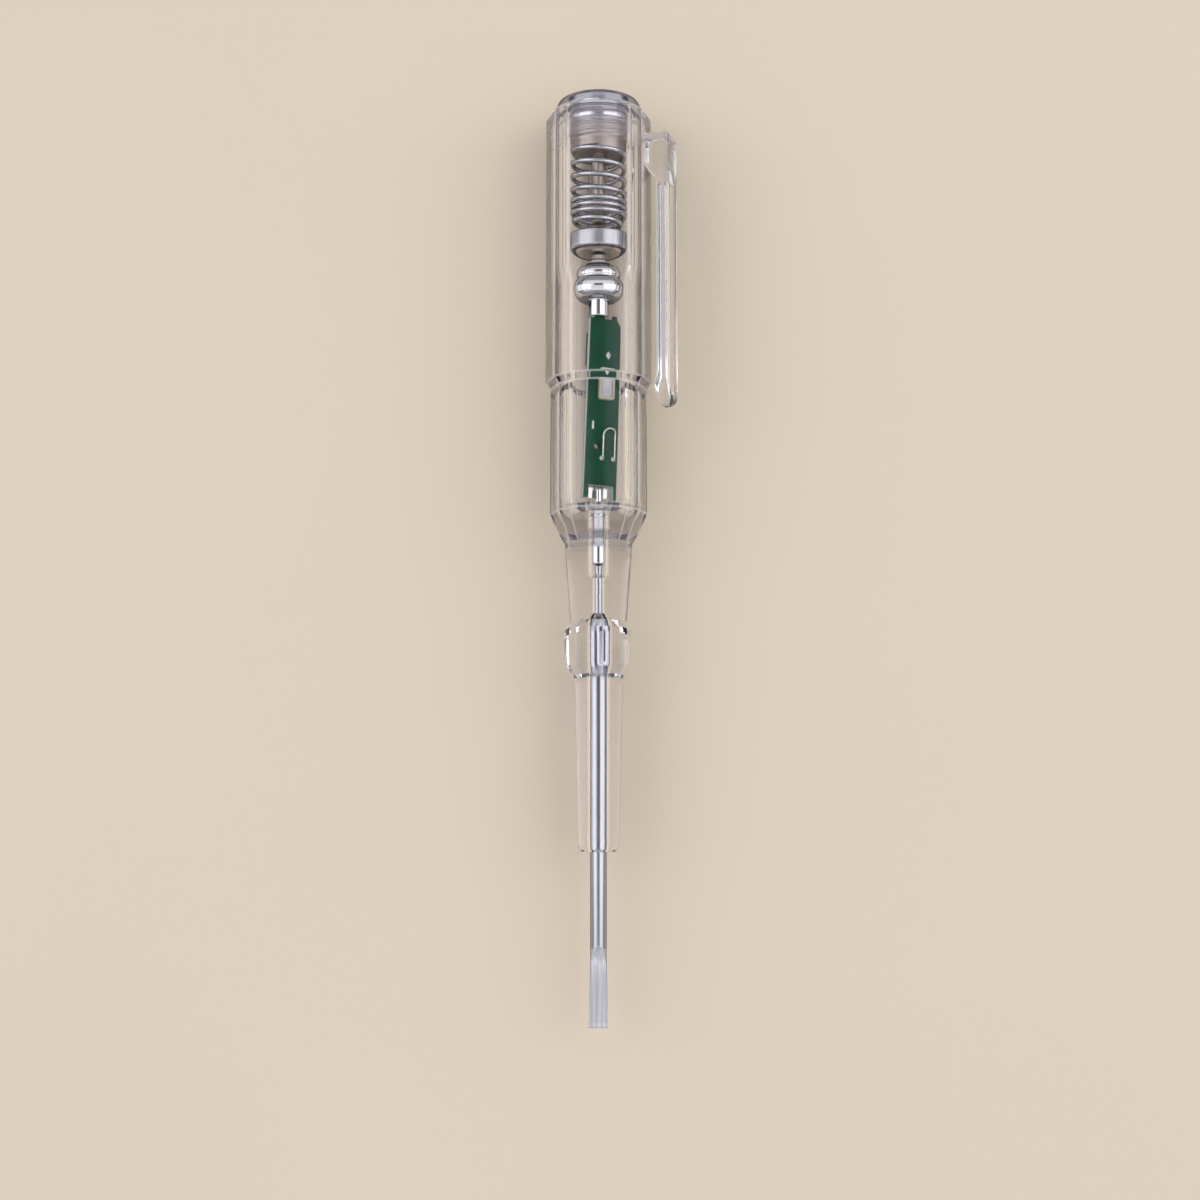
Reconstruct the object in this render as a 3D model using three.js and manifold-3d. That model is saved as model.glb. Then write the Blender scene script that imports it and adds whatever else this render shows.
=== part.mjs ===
import * as THREE from "three";
import { mergeVertices } from "three/addons/utils/BufferGeometryUtils.js";
import Module from "manifold-3d";

// Voltage tester screwdriver in millimetres, lying along Y with the cap at +Y and +Z up.
// Stations are measured from the blade tip along the tool's axis.

// Clearance between neighbours, and the place of the rest face ahead of the rear rim
const FIT = 0.3;
const REST_OFFSET = 28.5;

// Handle, outside, from the nozzle to the rear rim
const HANDLE_SIDES = 10;
const CROWN_ANGLE = 36;
const NOZZLE_LENGTH = 34.4;
const NOZZLE_END_RADIUS = 4.1;
const NOZZLE_ROOT_RADIUS = 4.93;
const COLLAR_SIDES = 7;
const COLLAR_TURN = -43.5;
const COLLAR_LENGTH = 10.6;
const COLLAR_FRONT_RADIUS = 6.2;
const COLLAR_REAR_RADIUS = 6.9;
const NOSE_LENGTH = 15.6;
const NOSE_FRONT_RADIUS = 5.6;
const NOSE_REAR_RADIUS = 6.77;
const TAPER_LENGTH = 6.1;
const TAPER_FRONT_RADIUS = 7.77;
const FRONT_LENGTH = 25.5;
const FRONT_RADIUS = 9.72;
const STEP_LENGTH = 3.0;
const REAR_LENGTH = 54.8;
const REAR_RADIUS = 10.8;
const RIM_CHAMFER = 0.8;

// Blade: shaft, flattened tip, shoulder and tail
const EXPOSED_LENGTH = 33.5;
const SHAFT_DIAMETER = 3.2;
const SHANK_DEPTH = 46.1;
const TAIL_DIAMETER = 1.4;
const TIP_WIDTH = 4.0;
const TIP_THICKNESS = 0.8;
const FLAT_LENGTH = 16.0;

// End cap: flange, threaded plug and stem
const FLANGE_RADIUS = 8.6;
const FLANGE_THICKNESS = 2.5;
const PLUG_LENGTH = 7.3;
const SHANK_LENGTH = 1.1;
const THREAD_PITCH = 1.25;
const THREAD_DEPTH = 0.5;
const STEM_DIAMETER = 2.85;
const STEM_LENGTH = 16.5;

// Battery spring
const SPRING_LENGTH = 19.1;
const SPRING_RADIUS = 5.4;
const SPRING_WIRE = 0.7;
const SPRING_BEND = 0.45;
const OPEN_TURNS = 4;
const CLOSED_TURNS = 3;
const CLOSED_PITCH = 1.25;
const FOOT_RADIUS = 3.9;
const FOOT_DROP = 1.6;

// Button cell
const CELL_DIAMETER = 11.6;
const CELL_HEIGHT = 3.9;
const CELL_WALL = 0.4;
const GASKET_WALL = 0.35;

// Bell contact
const BELL_LENGTH = 13.0;
const BELL_RADIUS = 5.1;
const BELL_ROD_DIAMETER = 3.95;
const BELL_ROD_LENGTH = 3.6;
const BELL_NECK_DIAMETER = 4.7;
const BELL_PIN_DIAMETER = 3.1;

// Circuit board and what it carries
const BOARD_WIDTH = 6.9;
const BOARD_LENGTH = 37.1;
const BOARD_THICKNESS = 1.5;
const BOARD_OFFSET = 0.85;
const BOARD_TURN = -2.3;
const BOARD_ROLL = 20.0;
const TONGUE_WIDTH = 2.3;
const TONGUE_LENGTH = 3.0;
const NOTCH_WIDTH = 5.2;
const NOTCH_LENGTH = 2.9;
const NOTCH_OFFSET = 0.1;
const BOARD_HOLE_DIAMETER = 1.3;
const TAB_WIDTH = 4.0;
const TAB_SHEET = 0.3;
const LAMP_WIDTH = 3.2;
const LAMP_LENGTH = 6.4;
const LAMP_HEIGHT = 1.0;
const LAMP_WALL = 0.4;
const LAMP_OFFSET = 0.25;
const LAMP_PLACE = 23.6;
const LOOP_WIRE = 0.36;
const LOOP_WIDTH = 2.2;
const LOOP_LENGTH = 5.6;
const LOOP_HEIGHT = 1.6;
const LOOP_OFFSET = 1.26;
const LOOP_PLACE = 8.5;
const BEAD_DIAMETER = 1.0;
const BEAD_HEIGHT = 0.45;
const JOINT_LENGTH = 1.5;
const LEAD_LENGTH = 1.7;
const LEAD_WIDTH = 0.4;
const TRANSISTOR_WIDTH = 2.2;
const TRANSISTOR_LENGTH = 6.8;
const TRANSISTOR_HEIGHT = 1.6;
const DRIVER_WIDTH = 1.1;
const DRIVER_LENGTH = 4.0;
const DRIVER_HEIGHT = 1.1;
const RESISTOR_LENGTH = 3.2;
const RESISTOR_WIDTH = 1.6;
const RESISTOR_HEIGHT = 0.6;
const CAPACITOR_LENGTH = 2.0;
const CAPACITOR_WIDTH = 1.25;
const CAPACITOR_HEIGHT = 0.9;

// Contact pin between board and blade
const PIN_DIAMETER = 1.4;
const PIN_REACH = 2.4;
const PIN_COLLAR_DIAMETER = 3.6;
const PIN_COLLAR_LENGTH = 0.7;
const PIN_COLLAR_GAP = 1.0;
const ROD_DIAMETER = 2.45;
const ROD_LENGTH = 11.2;
const POCKET_LENGTH = 4.9;

// Pocket clip on the first flat below the crown's right edge
const CLIP_ANGLE = 72.0;
const CLIP_GAP = 2.6;
const CLIP_THICKNESS = 2.96;
const CLIP_WIDTH = 7.4;
const CLIP_LENGTH = 56.3;
const CLIP_SETBACK = 6.1;
const CLIP_FOOT = 7.2;
const CLIP_NUB = 1.2;

// Stations along the outside
const NOZZLE_END = EXPOSED_LENGTH;
const COLLAR_FRONT = NOZZLE_END + NOZZLE_LENGTH;
const COLLAR_REAR = COLLAR_FRONT + COLLAR_LENGTH;
const NOSE_REAR = COLLAR_REAR + NOSE_LENGTH;
const TAPER_REAR = NOSE_REAR + TAPER_LENGTH;
const STEP_FRONT = TAPER_REAR + FRONT_LENGTH;
const STEP_REAR = STEP_FRONT + STEP_LENGTH;
const HANDLE_REAR = STEP_REAR + REAR_LENGTH;

// Stations of the stack inside, from the cap down to the blade's tail
const CAP_FACE = HANDLE_REAR + FIT;
const CAP_REAR = CAP_FACE + FLANGE_THICKNESS;
const PLUG_END = CAP_FACE - PLUG_LENGTH;
const CELL_REAR = PLUG_END - SPRING_LENGTH;
const CELL_FRONT = CELL_REAR - CELL_HEIGHT;
const BELL_REAR = CELL_FRONT - FIT;
const BELL_FRONT = BELL_REAR - BELL_LENGTH;
const BELL_SKIRT = BELL_FRONT + BELL_ROD_LENGTH;
const BOARD_REAR = BELL_FRONT - FIT;
const BOARD_FRONT = BOARD_REAR - BOARD_LENGTH;
const PIN_END = BOARD_FRONT + PIN_REACH;
const PIN_COLLAR_REAR = BOARD_FRONT - PIN_COLLAR_GAP;
const PIN_COLLAR_FRONT = PIN_COLLAR_REAR - PIN_COLLAR_LENGTH;
const BORE_END = PIN_COLLAR_FRONT - FIT;
const ROD_END = PIN_COLLAR_FRONT - ROD_LENGTH;
const POCKET_END = ROD_END - POCKET_LENGTH;
const SHOULDER = NOZZLE_END + SHANK_DEPTH;
const TAIL_END = ROD_END - FIT;

// Radii that follow from a neighbour
const CELL_RADIUS = CELL_DIAMETER / 2;
const CELL_BORE = CELL_RADIUS + FIT;
const PLUG_RADIUS = CELL_BORE - FIT;
const BOARD_BORE = BELL_RADIUS + FIT;
const SHAFT_RADIUS = SHAFT_DIAMETER / 2;
const TAIL_RADIUS = TAIL_DIAMETER / 2;
const ROD_RADIUS = ROD_DIAMETER / 2;
const PIN_RADIUS = PIN_DIAMETER / 2;
const AXIS_HEIGHT = REAR_RADIUS * Math.cos(Math.PI / HANDLE_SIDES);
const REST_STATION = HANDLE_REAR - REST_OFFSET;
const BOARD_TOP = BOARD_THICKNESS / 2;

const wasm = await Module();
wasm.setup();

// Welds a geometry into a solid wound with its faces outwards
function solidOf(geometry) {
  const bare = geometry.clone();
  bare.deleteAttribute("normal");
  bare.deleteAttribute("uv");
  const welded = mergeVertices(bare, 1e-4);
  const points = welded.attributes.position.array;
  const index = welded.index.array;
  const triangles = [];
  let volume = 0;
  for (let i = 0; i < index.length; i += 3) {
    const [a, b, c] = [index[i], index[i + 1], index[i + 2]];
    if (a === b || b === c || c === a) {
      continue;
    }
    const va = new THREE.Vector3().fromArray(points, 3 * a);
    const vb = new THREE.Vector3().fromArray(points, 3 * b);
    const vc = new THREE.Vector3().fromArray(points, 3 * c);
    volume += va.dot(vb.cross(vc));
    triangles.push(a, b, c);
  }
  if (volume < 0) {
    for (let i = 0; i < triangles.length; i += 3) {
      const second = triangles[i + 1];
      triangles[i + 1] = triangles[i + 2];
      triangles[i + 2] = second;
    }
  }
  const mesh = new wasm.Mesh({
    numProp: 3,
    vertProperties: new Float32Array(points),
    triVerts: new Uint32Array(triangles),
  });
  return new wasm.Manifold(mesh);
}

// Round or many-sided piece turned about the tool's axis from [radius, station] pairs
function turned(profile, sides, startDegrees = 0) {
  const points = profile.map(([radius, station]) => new THREE.Vector2(radius, station));
  const start = THREE.MathUtils.degToRad(startDegrees);
  return solidOf(new THREE.LatheGeometry(points, sides, start, 2 * Math.PI));
}

// Closed skin over rings of points, each ring with the same count, ends closed by a fan
function lofted(rings) {
  const count = rings[0].length;
  const points = [];
  const faces = [];
  rings.forEach((ring) => ring.forEach((p) => points.push(p.x, p.y, p.z)));
  for (let r = 0; r + 1 < rings.length; r += 1) {
    for (let k = 0; k < count; k += 1) {
      const a = r * count + k;
      const b = r * count + ((k + 1) % count);
      faces.push(a, b, a + count, b, b + count, a + count);
    }
  }
  const ends = [rings[0], rings[rings.length - 1]];
  ends.forEach((ring, side) => {
    const middle = new THREE.Vector3();
    ring.forEach((p) => middle.addScaledVector(p, 1 / count));
    const centre = points.length / 3;
    points.push(middle.x, middle.y, middle.z);
    const base = side === 0 ? 0 : (rings.length - 1) * count;
    for (let k = 0; k < count; k += 1) {
      const a = base + k;
      const b = base + ((k + 1) % count);
      faces.push(...(side === 0 ? [centre, b, a] : [centre, a, b]));
    }
  });
  const skin = new THREE.BufferGeometry();
  skin.setAttribute("position", new THREE.Float32BufferAttribute(points, 3));
  skin.setIndex(faces);
  return skin;
}

// Rod with a right-hand thread between two radii, its flanks following the helix
function threaded(rootRadius, crestRadius, from, to) {
  const sides = 24;
  const flanks = [
    [0.0, rootRadius],
    [0.22, rootRadius],
    [0.5, crestRadius],
    [0.72, crestRadius],
  ];
  const lap = flanks.length;
  const width = sides + 1;
  const rows = [];
  const firstTurn = Math.floor(from / THREAD_PITCH) - 3;
  const lastTurn = Math.ceil(to / THREAD_PITCH) + 2;
  for (let turn = firstTurn; turn <= lastTurn; turn += 1) {
    flanks.forEach(([share, radius]) => rows.push([(turn + share) * THREAD_PITCH, radius]));
  }
  const points = [];
  rows.forEach(([station, radius]) => {
    for (let k = 0; k < width; k += 1) {
      const phi = (2 * Math.PI * k) / sides;
      points.push(radius * Math.sin(phi), station + (THREAD_PITCH * k) / sides, radius * Math.cos(phi));
    }
  });
  const faces = [];
  for (let r = 0; r + 1 < rows.length; r += 1) {
    for (let k = 0; k < sides; k += 1) {
      const a = r * width + k;
      faces.push(a, a + 1, a + width, a + 1, a + width + 1, a + width);
    }
  }
  const last = rows.length - 1;
  const lower = [];
  const upper = [];
  for (let k = 0; k < width; k += 1) {
    lower.push(k);
    upper.push(last * width + k);
  }
  for (let step = 1; step < lap; step += 1) {
    lower.push((lap - step) * width);
    upper.push((last - step) * width + sides);
  }
  const foot = points.length / 3;
  points.push(0, rows[0][0], 0);
  points.push(0, rows[last][0] + THREAD_PITCH, 0);
  lower.forEach((a, i) => faces.push(foot, lower[(i + 1) % lower.length], a));
  upper.forEach((a, i) => faces.push(foot + 1, a, upper[(i + 1) % upper.length]));
  const skin = new THREE.BufferGeometry();
  skin.setAttribute("position", new THREE.Float32BufferAttribute(points, 3));
  skin.setIndex(faces);
  return solidOf(skin);
}

// Tube of a given thickness along a line of points
function tubeAlong(line, thickness, sides) {
  const rings = [];
  const normal = new THREE.Vector3();
  line.forEach((p, i) => {
    const before = line[Math.max(i - 1, 0)];
    const after = line[Math.min(i + 1, line.length - 1)];
    const along = after.clone().sub(before).normalize();
    if (i === 0) {
      normal.set(along.y, along.z, along.x);
    }
    normal.addScaledVector(along, -normal.dot(along)).normalize();
    const across = along.clone().cross(normal);
    const ring = [];
    for (let k = 0; k < sides; k += 1) {
      const angle = (2 * Math.PI * k) / sides;
      const spot = p.clone();
      spot.addScaledVector(normal, (thickness / 2) * Math.cos(angle));
      spot.addScaledVector(across, (thickness / 2) * Math.sin(angle));
      ring.push(spot);
    }
    rings.push(ring);
  });
  return lofted(rings);
}

// Block with its lower front left corner at the given place
function block(x, y, z, width, length, height) {
  const box = new THREE.BoxGeometry(width, length, height);
  box.translate(x + width / 2, y + length / 2, z + height / 2);
  return solidOf(box);
}

// Flat plate from an outline of [x, y] corners, with holes, rising from a level
function plate(outline, level, height, holes = []) {
  const shape = new THREE.Shape(outline.map(([x, y]) => new THREE.Vector2(x, y)));
  holes.forEach((hole) => shape.holes.push(hole));
  const sheet = new THREE.ExtrudeGeometry(shape, { depth: height, bevelEnabled: false, curveSegments: 8 });
  sheet.translate(0, 0, level);
  return solidOf(sheet);
}

// Moves a solid by a matrix
function placed(solid, matrix) {
  return solid.transform(matrix.elements);
}

const group = new THREE.Group();

// Adds one named piece, set down so that the handle's lowest flat is at Z = 0
function add(name, solid, colour, roughness, metalness) {
  const mesh = solid.getMesh();
  const skin = new THREE.BufferGeometry();
  skin.setAttribute("position", new THREE.BufferAttribute(mesh.vertProperties, 3));
  skin.setIndex(new THREE.BufferAttribute(mesh.triVerts, 1));
  skin.translate(0, -REST_STATION, AXIS_HEIGHT);
  skin.computeVertexNormals();
  const look = new THREE.MeshStandardMaterial({ color: colour, roughness, metalness });
  const piece = new THREE.Mesh(skin, look);
  piece.name = name;
  group.add(piece);
}

// Handle: grip with a smooth crown and flats below it, round nose, faceted collar and round nozzle
const gripTurns = [];
for (let k = -6; k <= 6; k += 1) {
  gripTurns.push((CROWN_ANGLE * k) / 6);
}
for (let k = 1; k < HANDLE_SIDES - 1; k += 1) {
  gripTurns.push((360 / HANDLE_SIDES) * (k + 0.5));
}
function gripRing([radius, station]) {
  return gripTurns.map((degrees) => {
    const angle = THREE.MathUtils.degToRad(degrees);
    return new THREE.Vector3(radius * Math.sin(angle), station, radius * Math.cos(angle));
  });
}
const gripProfile = [
  [NOSE_REAR_RADIUS + 0.15, NOSE_REAR],
  [TAPER_FRONT_RADIUS, NOSE_REAR + 1.2],
  [FRONT_RADIUS, TAPER_REAR],
  [FRONT_RADIUS, STEP_FRONT],
  [REAR_RADIUS, STEP_REAR],
  [REAR_RADIUS, HANDLE_REAR - RIM_CHAMFER],
  [REAR_RADIUS - RIM_CHAMFER, HANDLE_REAR],
];
const grip = solidOf(lofted(gripProfile.map(gripRing)));
const nose = turned(
  [
    [0, COLLAR_FRONT + COLLAR_LENGTH / 2],
    [NOZZLE_ROOT_RADIUS, COLLAR_FRONT + COLLAR_LENGTH / 2],
    [NOSE_FRONT_RADIUS, COLLAR_REAR],
    [NOSE_REAR_RADIUS, NOSE_REAR],
    [NOSE_REAR_RADIUS, NOSE_REAR + 0.6],
    [0, NOSE_REAR + 0.6],
  ],
  40,
);
const collarFlats = turned(
  [
    [0, COLLAR_FRONT],
    [COLLAR_FRONT_RADIUS, COLLAR_FRONT],
    [COLLAR_REAR_RADIUS, COLLAR_REAR],
    [0, COLLAR_REAR],
  ],
  COLLAR_SIDES,
  COLLAR_TURN,
);
const collarTurning = turned(
  [
    [0, COLLAR_FRONT],
    [NOZZLE_ROOT_RADIUS, COLLAR_FRONT],
    [COLLAR_FRONT_RADIUS, COLLAR_FRONT + 1.7],
    [COLLAR_REAR_RADIUS, COLLAR_FRONT + 2.7],
    [COLLAR_REAR_RADIUS, COLLAR_REAR - 1.8],
    [NOSE_FRONT_RADIUS, COLLAR_REAR],
    [0, COLLAR_REAR],
  ],
  40,
);
const nozzle = turned(
  [
    [0, NOZZLE_END],
    [0.78 * NOZZLE_END_RADIUS, NOZZLE_END],
    [0.9 * NOZZLE_END_RADIUS, NOZZLE_END + 0.35],
    [0.97 * NOZZLE_END_RADIUS, NOZZLE_END + 1.0],
    [NOZZLE_END_RADIUS, NOZZLE_END + 2.0],
    [NOZZLE_ROOT_RADIUS, COLLAR_FRONT],
    [NOZZLE_ROOT_RADIUS, COLLAR_FRONT + COLLAR_LENGTH / 2],
    [0, COLLAR_FRONT + COLLAR_LENGTH / 2],
  ],
  40,
);
const BORE_STEP = BELL_REAR - 2.9;
const bores = turned(
  [
    [0, NOZZLE_END - 2],
    [SHAFT_RADIUS + FIT, NOZZLE_END - 2],
    [SHAFT_RADIUS + FIT, SHOULDER - 1.0],
    [TAIL_RADIUS + FIT, SHOULDER + 0.6],
    [TAIL_RADIUS + FIT, POCKET_END],
    [ROD_RADIUS, POCKET_END + 0.2],
    [ROD_RADIUS + FIT, POCKET_END + 1.2],
    [ROD_RADIUS + FIT, BORE_END],
    [0.72 * BOARD_BORE, BORE_END],
    [0.91 * BOARD_BORE, BORE_END + 0.8],
    [BOARD_BORE, BORE_END + 2.6],
    [BOARD_BORE, BORE_STEP - 3.3],
    [CELL_BORE, BORE_STEP + 0.7],
    [CELL_BORE, HANDLE_REAR + 2],
    [0, HANDLE_REAR + 2],
  ],
  32,
);
const tapLimit = turned(
  [
    [0, PLUG_END - FIT],
    [CELL_BORE, PLUG_END - FIT],
    [REAR_RADIUS, PLUG_END - FIT + THREAD_DEPTH],
    [REAR_RADIUS, HANDLE_REAR + 1],
    [0, HANDLE_REAR + 1],
  ],
  32,
);
const tap = threaded(CELL_BORE, CELL_BORE + THREAD_DEPTH, PLUG_END, HANDLE_REAR).intersect(tapLimit);
const handle = grip
  .add(nose)
  .add(collarFlats.intersect(collarTurning))
  .add(nozzle)
  .subtract(bores)
  .subtract(tap);
add("handle", handle, 0xe8e2dc, 0.08, 0.0);

// Pocket clip: flat strip with a round end, a foot on the handle's flat and a nub inside
const clipOut = new THREE.Vector3(
  Math.sin(THREE.MathUtils.degToRad(CLIP_ANGLE)),
  0,
  Math.cos(THREE.MathUtils.degToRad(CLIP_ANGLE)),
);
const clipAlong = new THREE.Vector3(0, 1, 0);
const clipAcross = clipAlong.clone().cross(clipOut);
const clipFrame = new THREE.Matrix4().makeBasis(clipAcross, clipAlong, clipOut);
const CLIP_REAR = HANDLE_REAR - CLIP_SETBACK;
const CLIP_FRONT = CLIP_REAR - CLIP_LENGTH;
const clipInner = AXIS_HEIGHT + CLIP_GAP;
const clipOutline = [];
for (let k = 0; k <= 12; k += 1) {
  const angle = Math.PI + (Math.PI * k) / 12;
  const reach = CLIP_WIDTH / 2;
  clipOutline.push([reach * Math.cos(angle), CLIP_FRONT + reach + reach * Math.sin(angle)]);
}
clipOutline.push([CLIP_WIDTH / 2, CLIP_REAR]);
clipOutline.push([-CLIP_WIDTH / 2, CLIP_REAR]);
const clipStrip = plate(clipOutline, clipInner, CLIP_THICKNESS);
const clipFoot = block(
  -CLIP_WIDTH / 2,
  CLIP_REAR - CLIP_FOOT,
  AXIS_HEIGHT + FIT,
  CLIP_WIDTH,
  CLIP_FOOT,
  CLIP_GAP + CLIP_THICKNESS / 2,
);
const nubRoll = new THREE.CylinderGeometry(CLIP_NUB, CLIP_NUB, CLIP_WIDTH - 2, 16);
nubRoll.rotateZ(Math.PI / 2);
nubRoll.translate(0, CLIP_FRONT + CLIP_WIDTH / 2, clipInner + 0.2);
const clip = clipStrip.add(clipFoot).add(solidOf(nubRoll));
add("pocket_clip", placed(clip, clipFrame), 0xe4dfe2, 0.1, 0.0);

// End cap: domed flange, plain shank, threaded plug and stem
const capBody = turned(
  [
    [0, PLUG_END - STEM_LENGTH],
    [0.75 * (STEM_DIAMETER / 2), PLUG_END - STEM_LENGTH],
    [STEM_DIAMETER / 2, PLUG_END - STEM_LENGTH + 0.5],
    [STEM_DIAMETER / 2, PLUG_END + 0.5],
    [PLUG_RADIUS - THREAD_DEPTH, PLUG_END + 0.5],
    [PLUG_RADIUS - THREAD_DEPTH, CAP_FACE - SHANK_LENGTH],
    [PLUG_RADIUS, CAP_FACE - SHANK_LENGTH],
    [PLUG_RADIUS, CAP_FACE],
    [0.95 * FLANGE_RADIUS, CAP_FACE],
    [FLANGE_RADIUS, CAP_FACE + 0.3],
    [FLANGE_RADIUS, CAP_FACE + 0.6 * FLANGE_THICKNESS],
    [0.96 * FLANGE_RADIUS, CAP_FACE + 0.86 * FLANGE_THICKNESS],
    [0.88 * FLANGE_RADIUS, CAP_REAR],
    [0, CAP_REAR],
  ],
  40,
);
const dieLimit = turned(
  [
    [0, PLUG_END],
    [PLUG_RADIUS - 0.2, PLUG_END],
    [PLUG_RADIUS + THREAD_DEPTH, PLUG_END + THREAD_DEPTH + 0.2],
    [PLUG_RADIUS + THREAD_DEPTH, CAP_FACE - SHANK_LENGTH - 0.4],
    [PLUG_RADIUS, CAP_FACE - SHANK_LENGTH + 0.1],
    [0, CAP_FACE - SHANK_LENGTH + 0.1],
  ],
  32,
);
const plugThread = threaded(PLUG_RADIUS, PLUG_RADIUS + THREAD_DEPTH, PLUG_END, CAP_FACE).intersect(dieLimit);
add("end_cap", capBody.add(plugThread), 0x8d919b, 0.3, 1.0);

// Battery spring: open turns, closed turns and one smaller turn, ends bent along the axis
const SPRING_TOP = PLUG_END - FIT - SPRING_WIRE - SPRING_BEND;
const SPRING_FOOT = CELL_REAR + FIT + SPRING_WIRE + SPRING_BEND;
const CLOSED_TOP = SPRING_FOOT + FOOT_DROP + CLOSED_TURNS * CLOSED_PITCH;
const TURNS = OPEN_TURNS + CLOSED_TURNS + 1;
function springSpot(turn) {
  const open = Math.min(turn, OPEN_TURNS);
  const closed = Math.min(Math.max(turn - OPEN_TURNS, 0), CLOSED_TURNS);
  const foot = Math.max(turn - OPEN_TURNS - CLOSED_TURNS, 0);
  const radius = SPRING_RADIUS + (FOOT_RADIUS - SPRING_RADIUS) * foot;
  const fall = (open / OPEN_TURNS) * (SPRING_TOP - CLOSED_TOP) + closed * CLOSED_PITCH + foot * FOOT_DROP;
  const phi = 2 * Math.PI * turn;
  return new THREE.Vector3(radius * Math.sin(phi), SPRING_TOP - fall, radius * Math.cos(phi));
}
const springLine = [];
for (let step = 0; step <= 8 * TURNS; step += 1) {
  springLine.push(springSpot(step / 8));
}
function bentEnd(from, runs, rise) {
  const spots = [];
  [30, 60, 90].forEach((degrees) => {
    const angle = THREE.MathUtils.degToRad(degrees);
    const spot = from.clone().addScaledVector(runs, SPRING_BEND * Math.sin(angle));
    spot.y += rise * SPRING_BEND * (1 - Math.cos(angle));
    spots.push(spot);
  });
  const tip = spots[2].clone();
  tip.y += rise * SPRING_WIRE;
  spots.push(tip);
  return spots;
}
const topEnd = bentEnd(springLine[0], new THREE.Vector3(-1, 0, 0), 1);
const footEnd = bentEnd(springLine[springLine.length - 1], new THREE.Vector3(1, 0, 0), -1);
const springWhole = [...topEnd.reverse(), ...springLine, ...footEnd];
const springDense = [];
springWhole.slice(1).forEach((p, i) => {
  for (let part = 0; part < 4; part += 1) {
    springDense.push(springWhole[i].clone().lerp(p, part / 4));
  }
});
let springGap = Infinity;
springDense.forEach((p, i) => {
  for (let j = i + 16; j < springDense.length; j += 1) {
    springGap = Math.min(springGap, p.distanceTo(springDense[j]) - SPRING_WIRE);
  }
});
console.log(`battery_spring least gap to itself ${springGap.toFixed(3)} mm`);
add("battery_spring", solidOf(tubeAlong(springWhole, SPRING_WIRE, 5)), 0xc9cbd0, 0.25, 1.0);

// Button cell: can open to the front, gasket ring and the smaller cap inside it
const cupRadius = CELL_RADIUS - CELL_WALL;
const ringOuter = cupRadius - FIT;
const ringInner = ringOuter - GASKET_WALL;
const lidRadius = ringInner - FIT;
const cupFloor = CELL_REAR - 2 * CELL_WALL;
add(
  "cell_can",
  turned(
    [
      [0, CELL_REAR],
      [CELL_RADIUS - 0.3, CELL_REAR],
      [CELL_RADIUS, CELL_REAR - 0.3],
      [CELL_RADIUS, CELL_FRONT + 0.7],
      [CELL_RADIUS - 0.25, CELL_FRONT + 0.35],
      [cupRadius, CELL_FRONT + 0.35],
      [cupRadius, cupFloor],
      [0, cupFloor],
    ],
    40,
  ),
  0xb9bcc2,
  0.25,
  1.0,
);
add(
  "cell_gasket",
  turned(
    [
      [ringInner, CELL_FRONT + 0.3],
      [ringOuter, CELL_FRONT + 0.3],
      [ringOuter, cupFloor - FIT],
      [ringInner, cupFloor - FIT],
      [ringInner, CELL_FRONT + 0.3],
    ],
    32,
  ),
  0x2a2624,
  0.6,
  0.0,
);
add(
  "cell_cap",
  turned(
    [
      [0, CELL_FRONT],
      [lidRadius - 0.5, CELL_FRONT],
      [lidRadius, CELL_FRONT + 0.5],
      [lidRadius, cupFloor - FIT],
      [0, cupFloor - FIT],
    ],
    32,
  ),
  0xa8a29a,
  0.35,
  1.0,
);

// Bell contact: pin under the cell, neck, waist, bell and a slotted rod for the board
const bellRod = BELL_ROD_DIAMETER / 2;
const bellNeck = BELL_NECK_DIAMETER / 2;
const bellPin = BELL_PIN_DIAMETER / 2;
const bellRise = BELL_REAR - BELL_SKIRT;
const bellTurning = turned(
  [
    [0, BELL_FRONT],
    [bellRod - 0.2, BELL_FRONT],
    [bellRod, BELL_FRONT + 0.2],
    [bellRod, BELL_SKIRT],
    [0.82 * BELL_RADIUS, BELL_SKIRT],
    [0.95 * BELL_RADIUS, BELL_SKIRT + 0.08 * bellRise],
    [BELL_RADIUS, BELL_SKIRT + 0.2 * bellRise],
    [0.98 * BELL_RADIUS, BELL_SKIRT + 0.3 * bellRise],
    [0.9 * BELL_RADIUS, BELL_SKIRT + 0.4 * bellRise],
    [0.83 * BELL_RADIUS, BELL_SKIRT + 0.45 * bellRise],
    [0.87 * BELL_RADIUS, BELL_SKIRT + 0.5 * bellRise],
    [0.87 * BELL_RADIUS, BELL_SKIRT + 0.58 * bellRise],
    [0.78 * BELL_RADIUS, BELL_SKIRT + 0.68 * bellRise],
    [bellNeck + 0.3, BELL_REAR - 2.3],
    [bellNeck, BELL_REAR - 1.95],
    [bellNeck, BELL_REAR - 1.5],
    [bellPin, BELL_REAR - 1.4],
    [bellPin, BELL_REAR],
    [0, BELL_REAR],
  ],
  36,
);
const bellSlot = block(
  -BELL_ROD_DIAMETER,
  BELL_FRONT - 1,
  -BOARD_TOP - FIT,
  2 * BELL_ROD_DIAMETER,
  1 + TONGUE_LENGTH + FIT,
  BOARD_THICKNESS + 2 * FIT,
);
const boardRoll = new THREE.Matrix4().makeRotationY(THREE.MathUtils.degToRad(BOARD_ROLL));
add("bell_contact", bellTurning.subtract(placed(bellSlot, boardRoll)), 0xc4c7cf, 0.2, 1.0);

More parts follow.
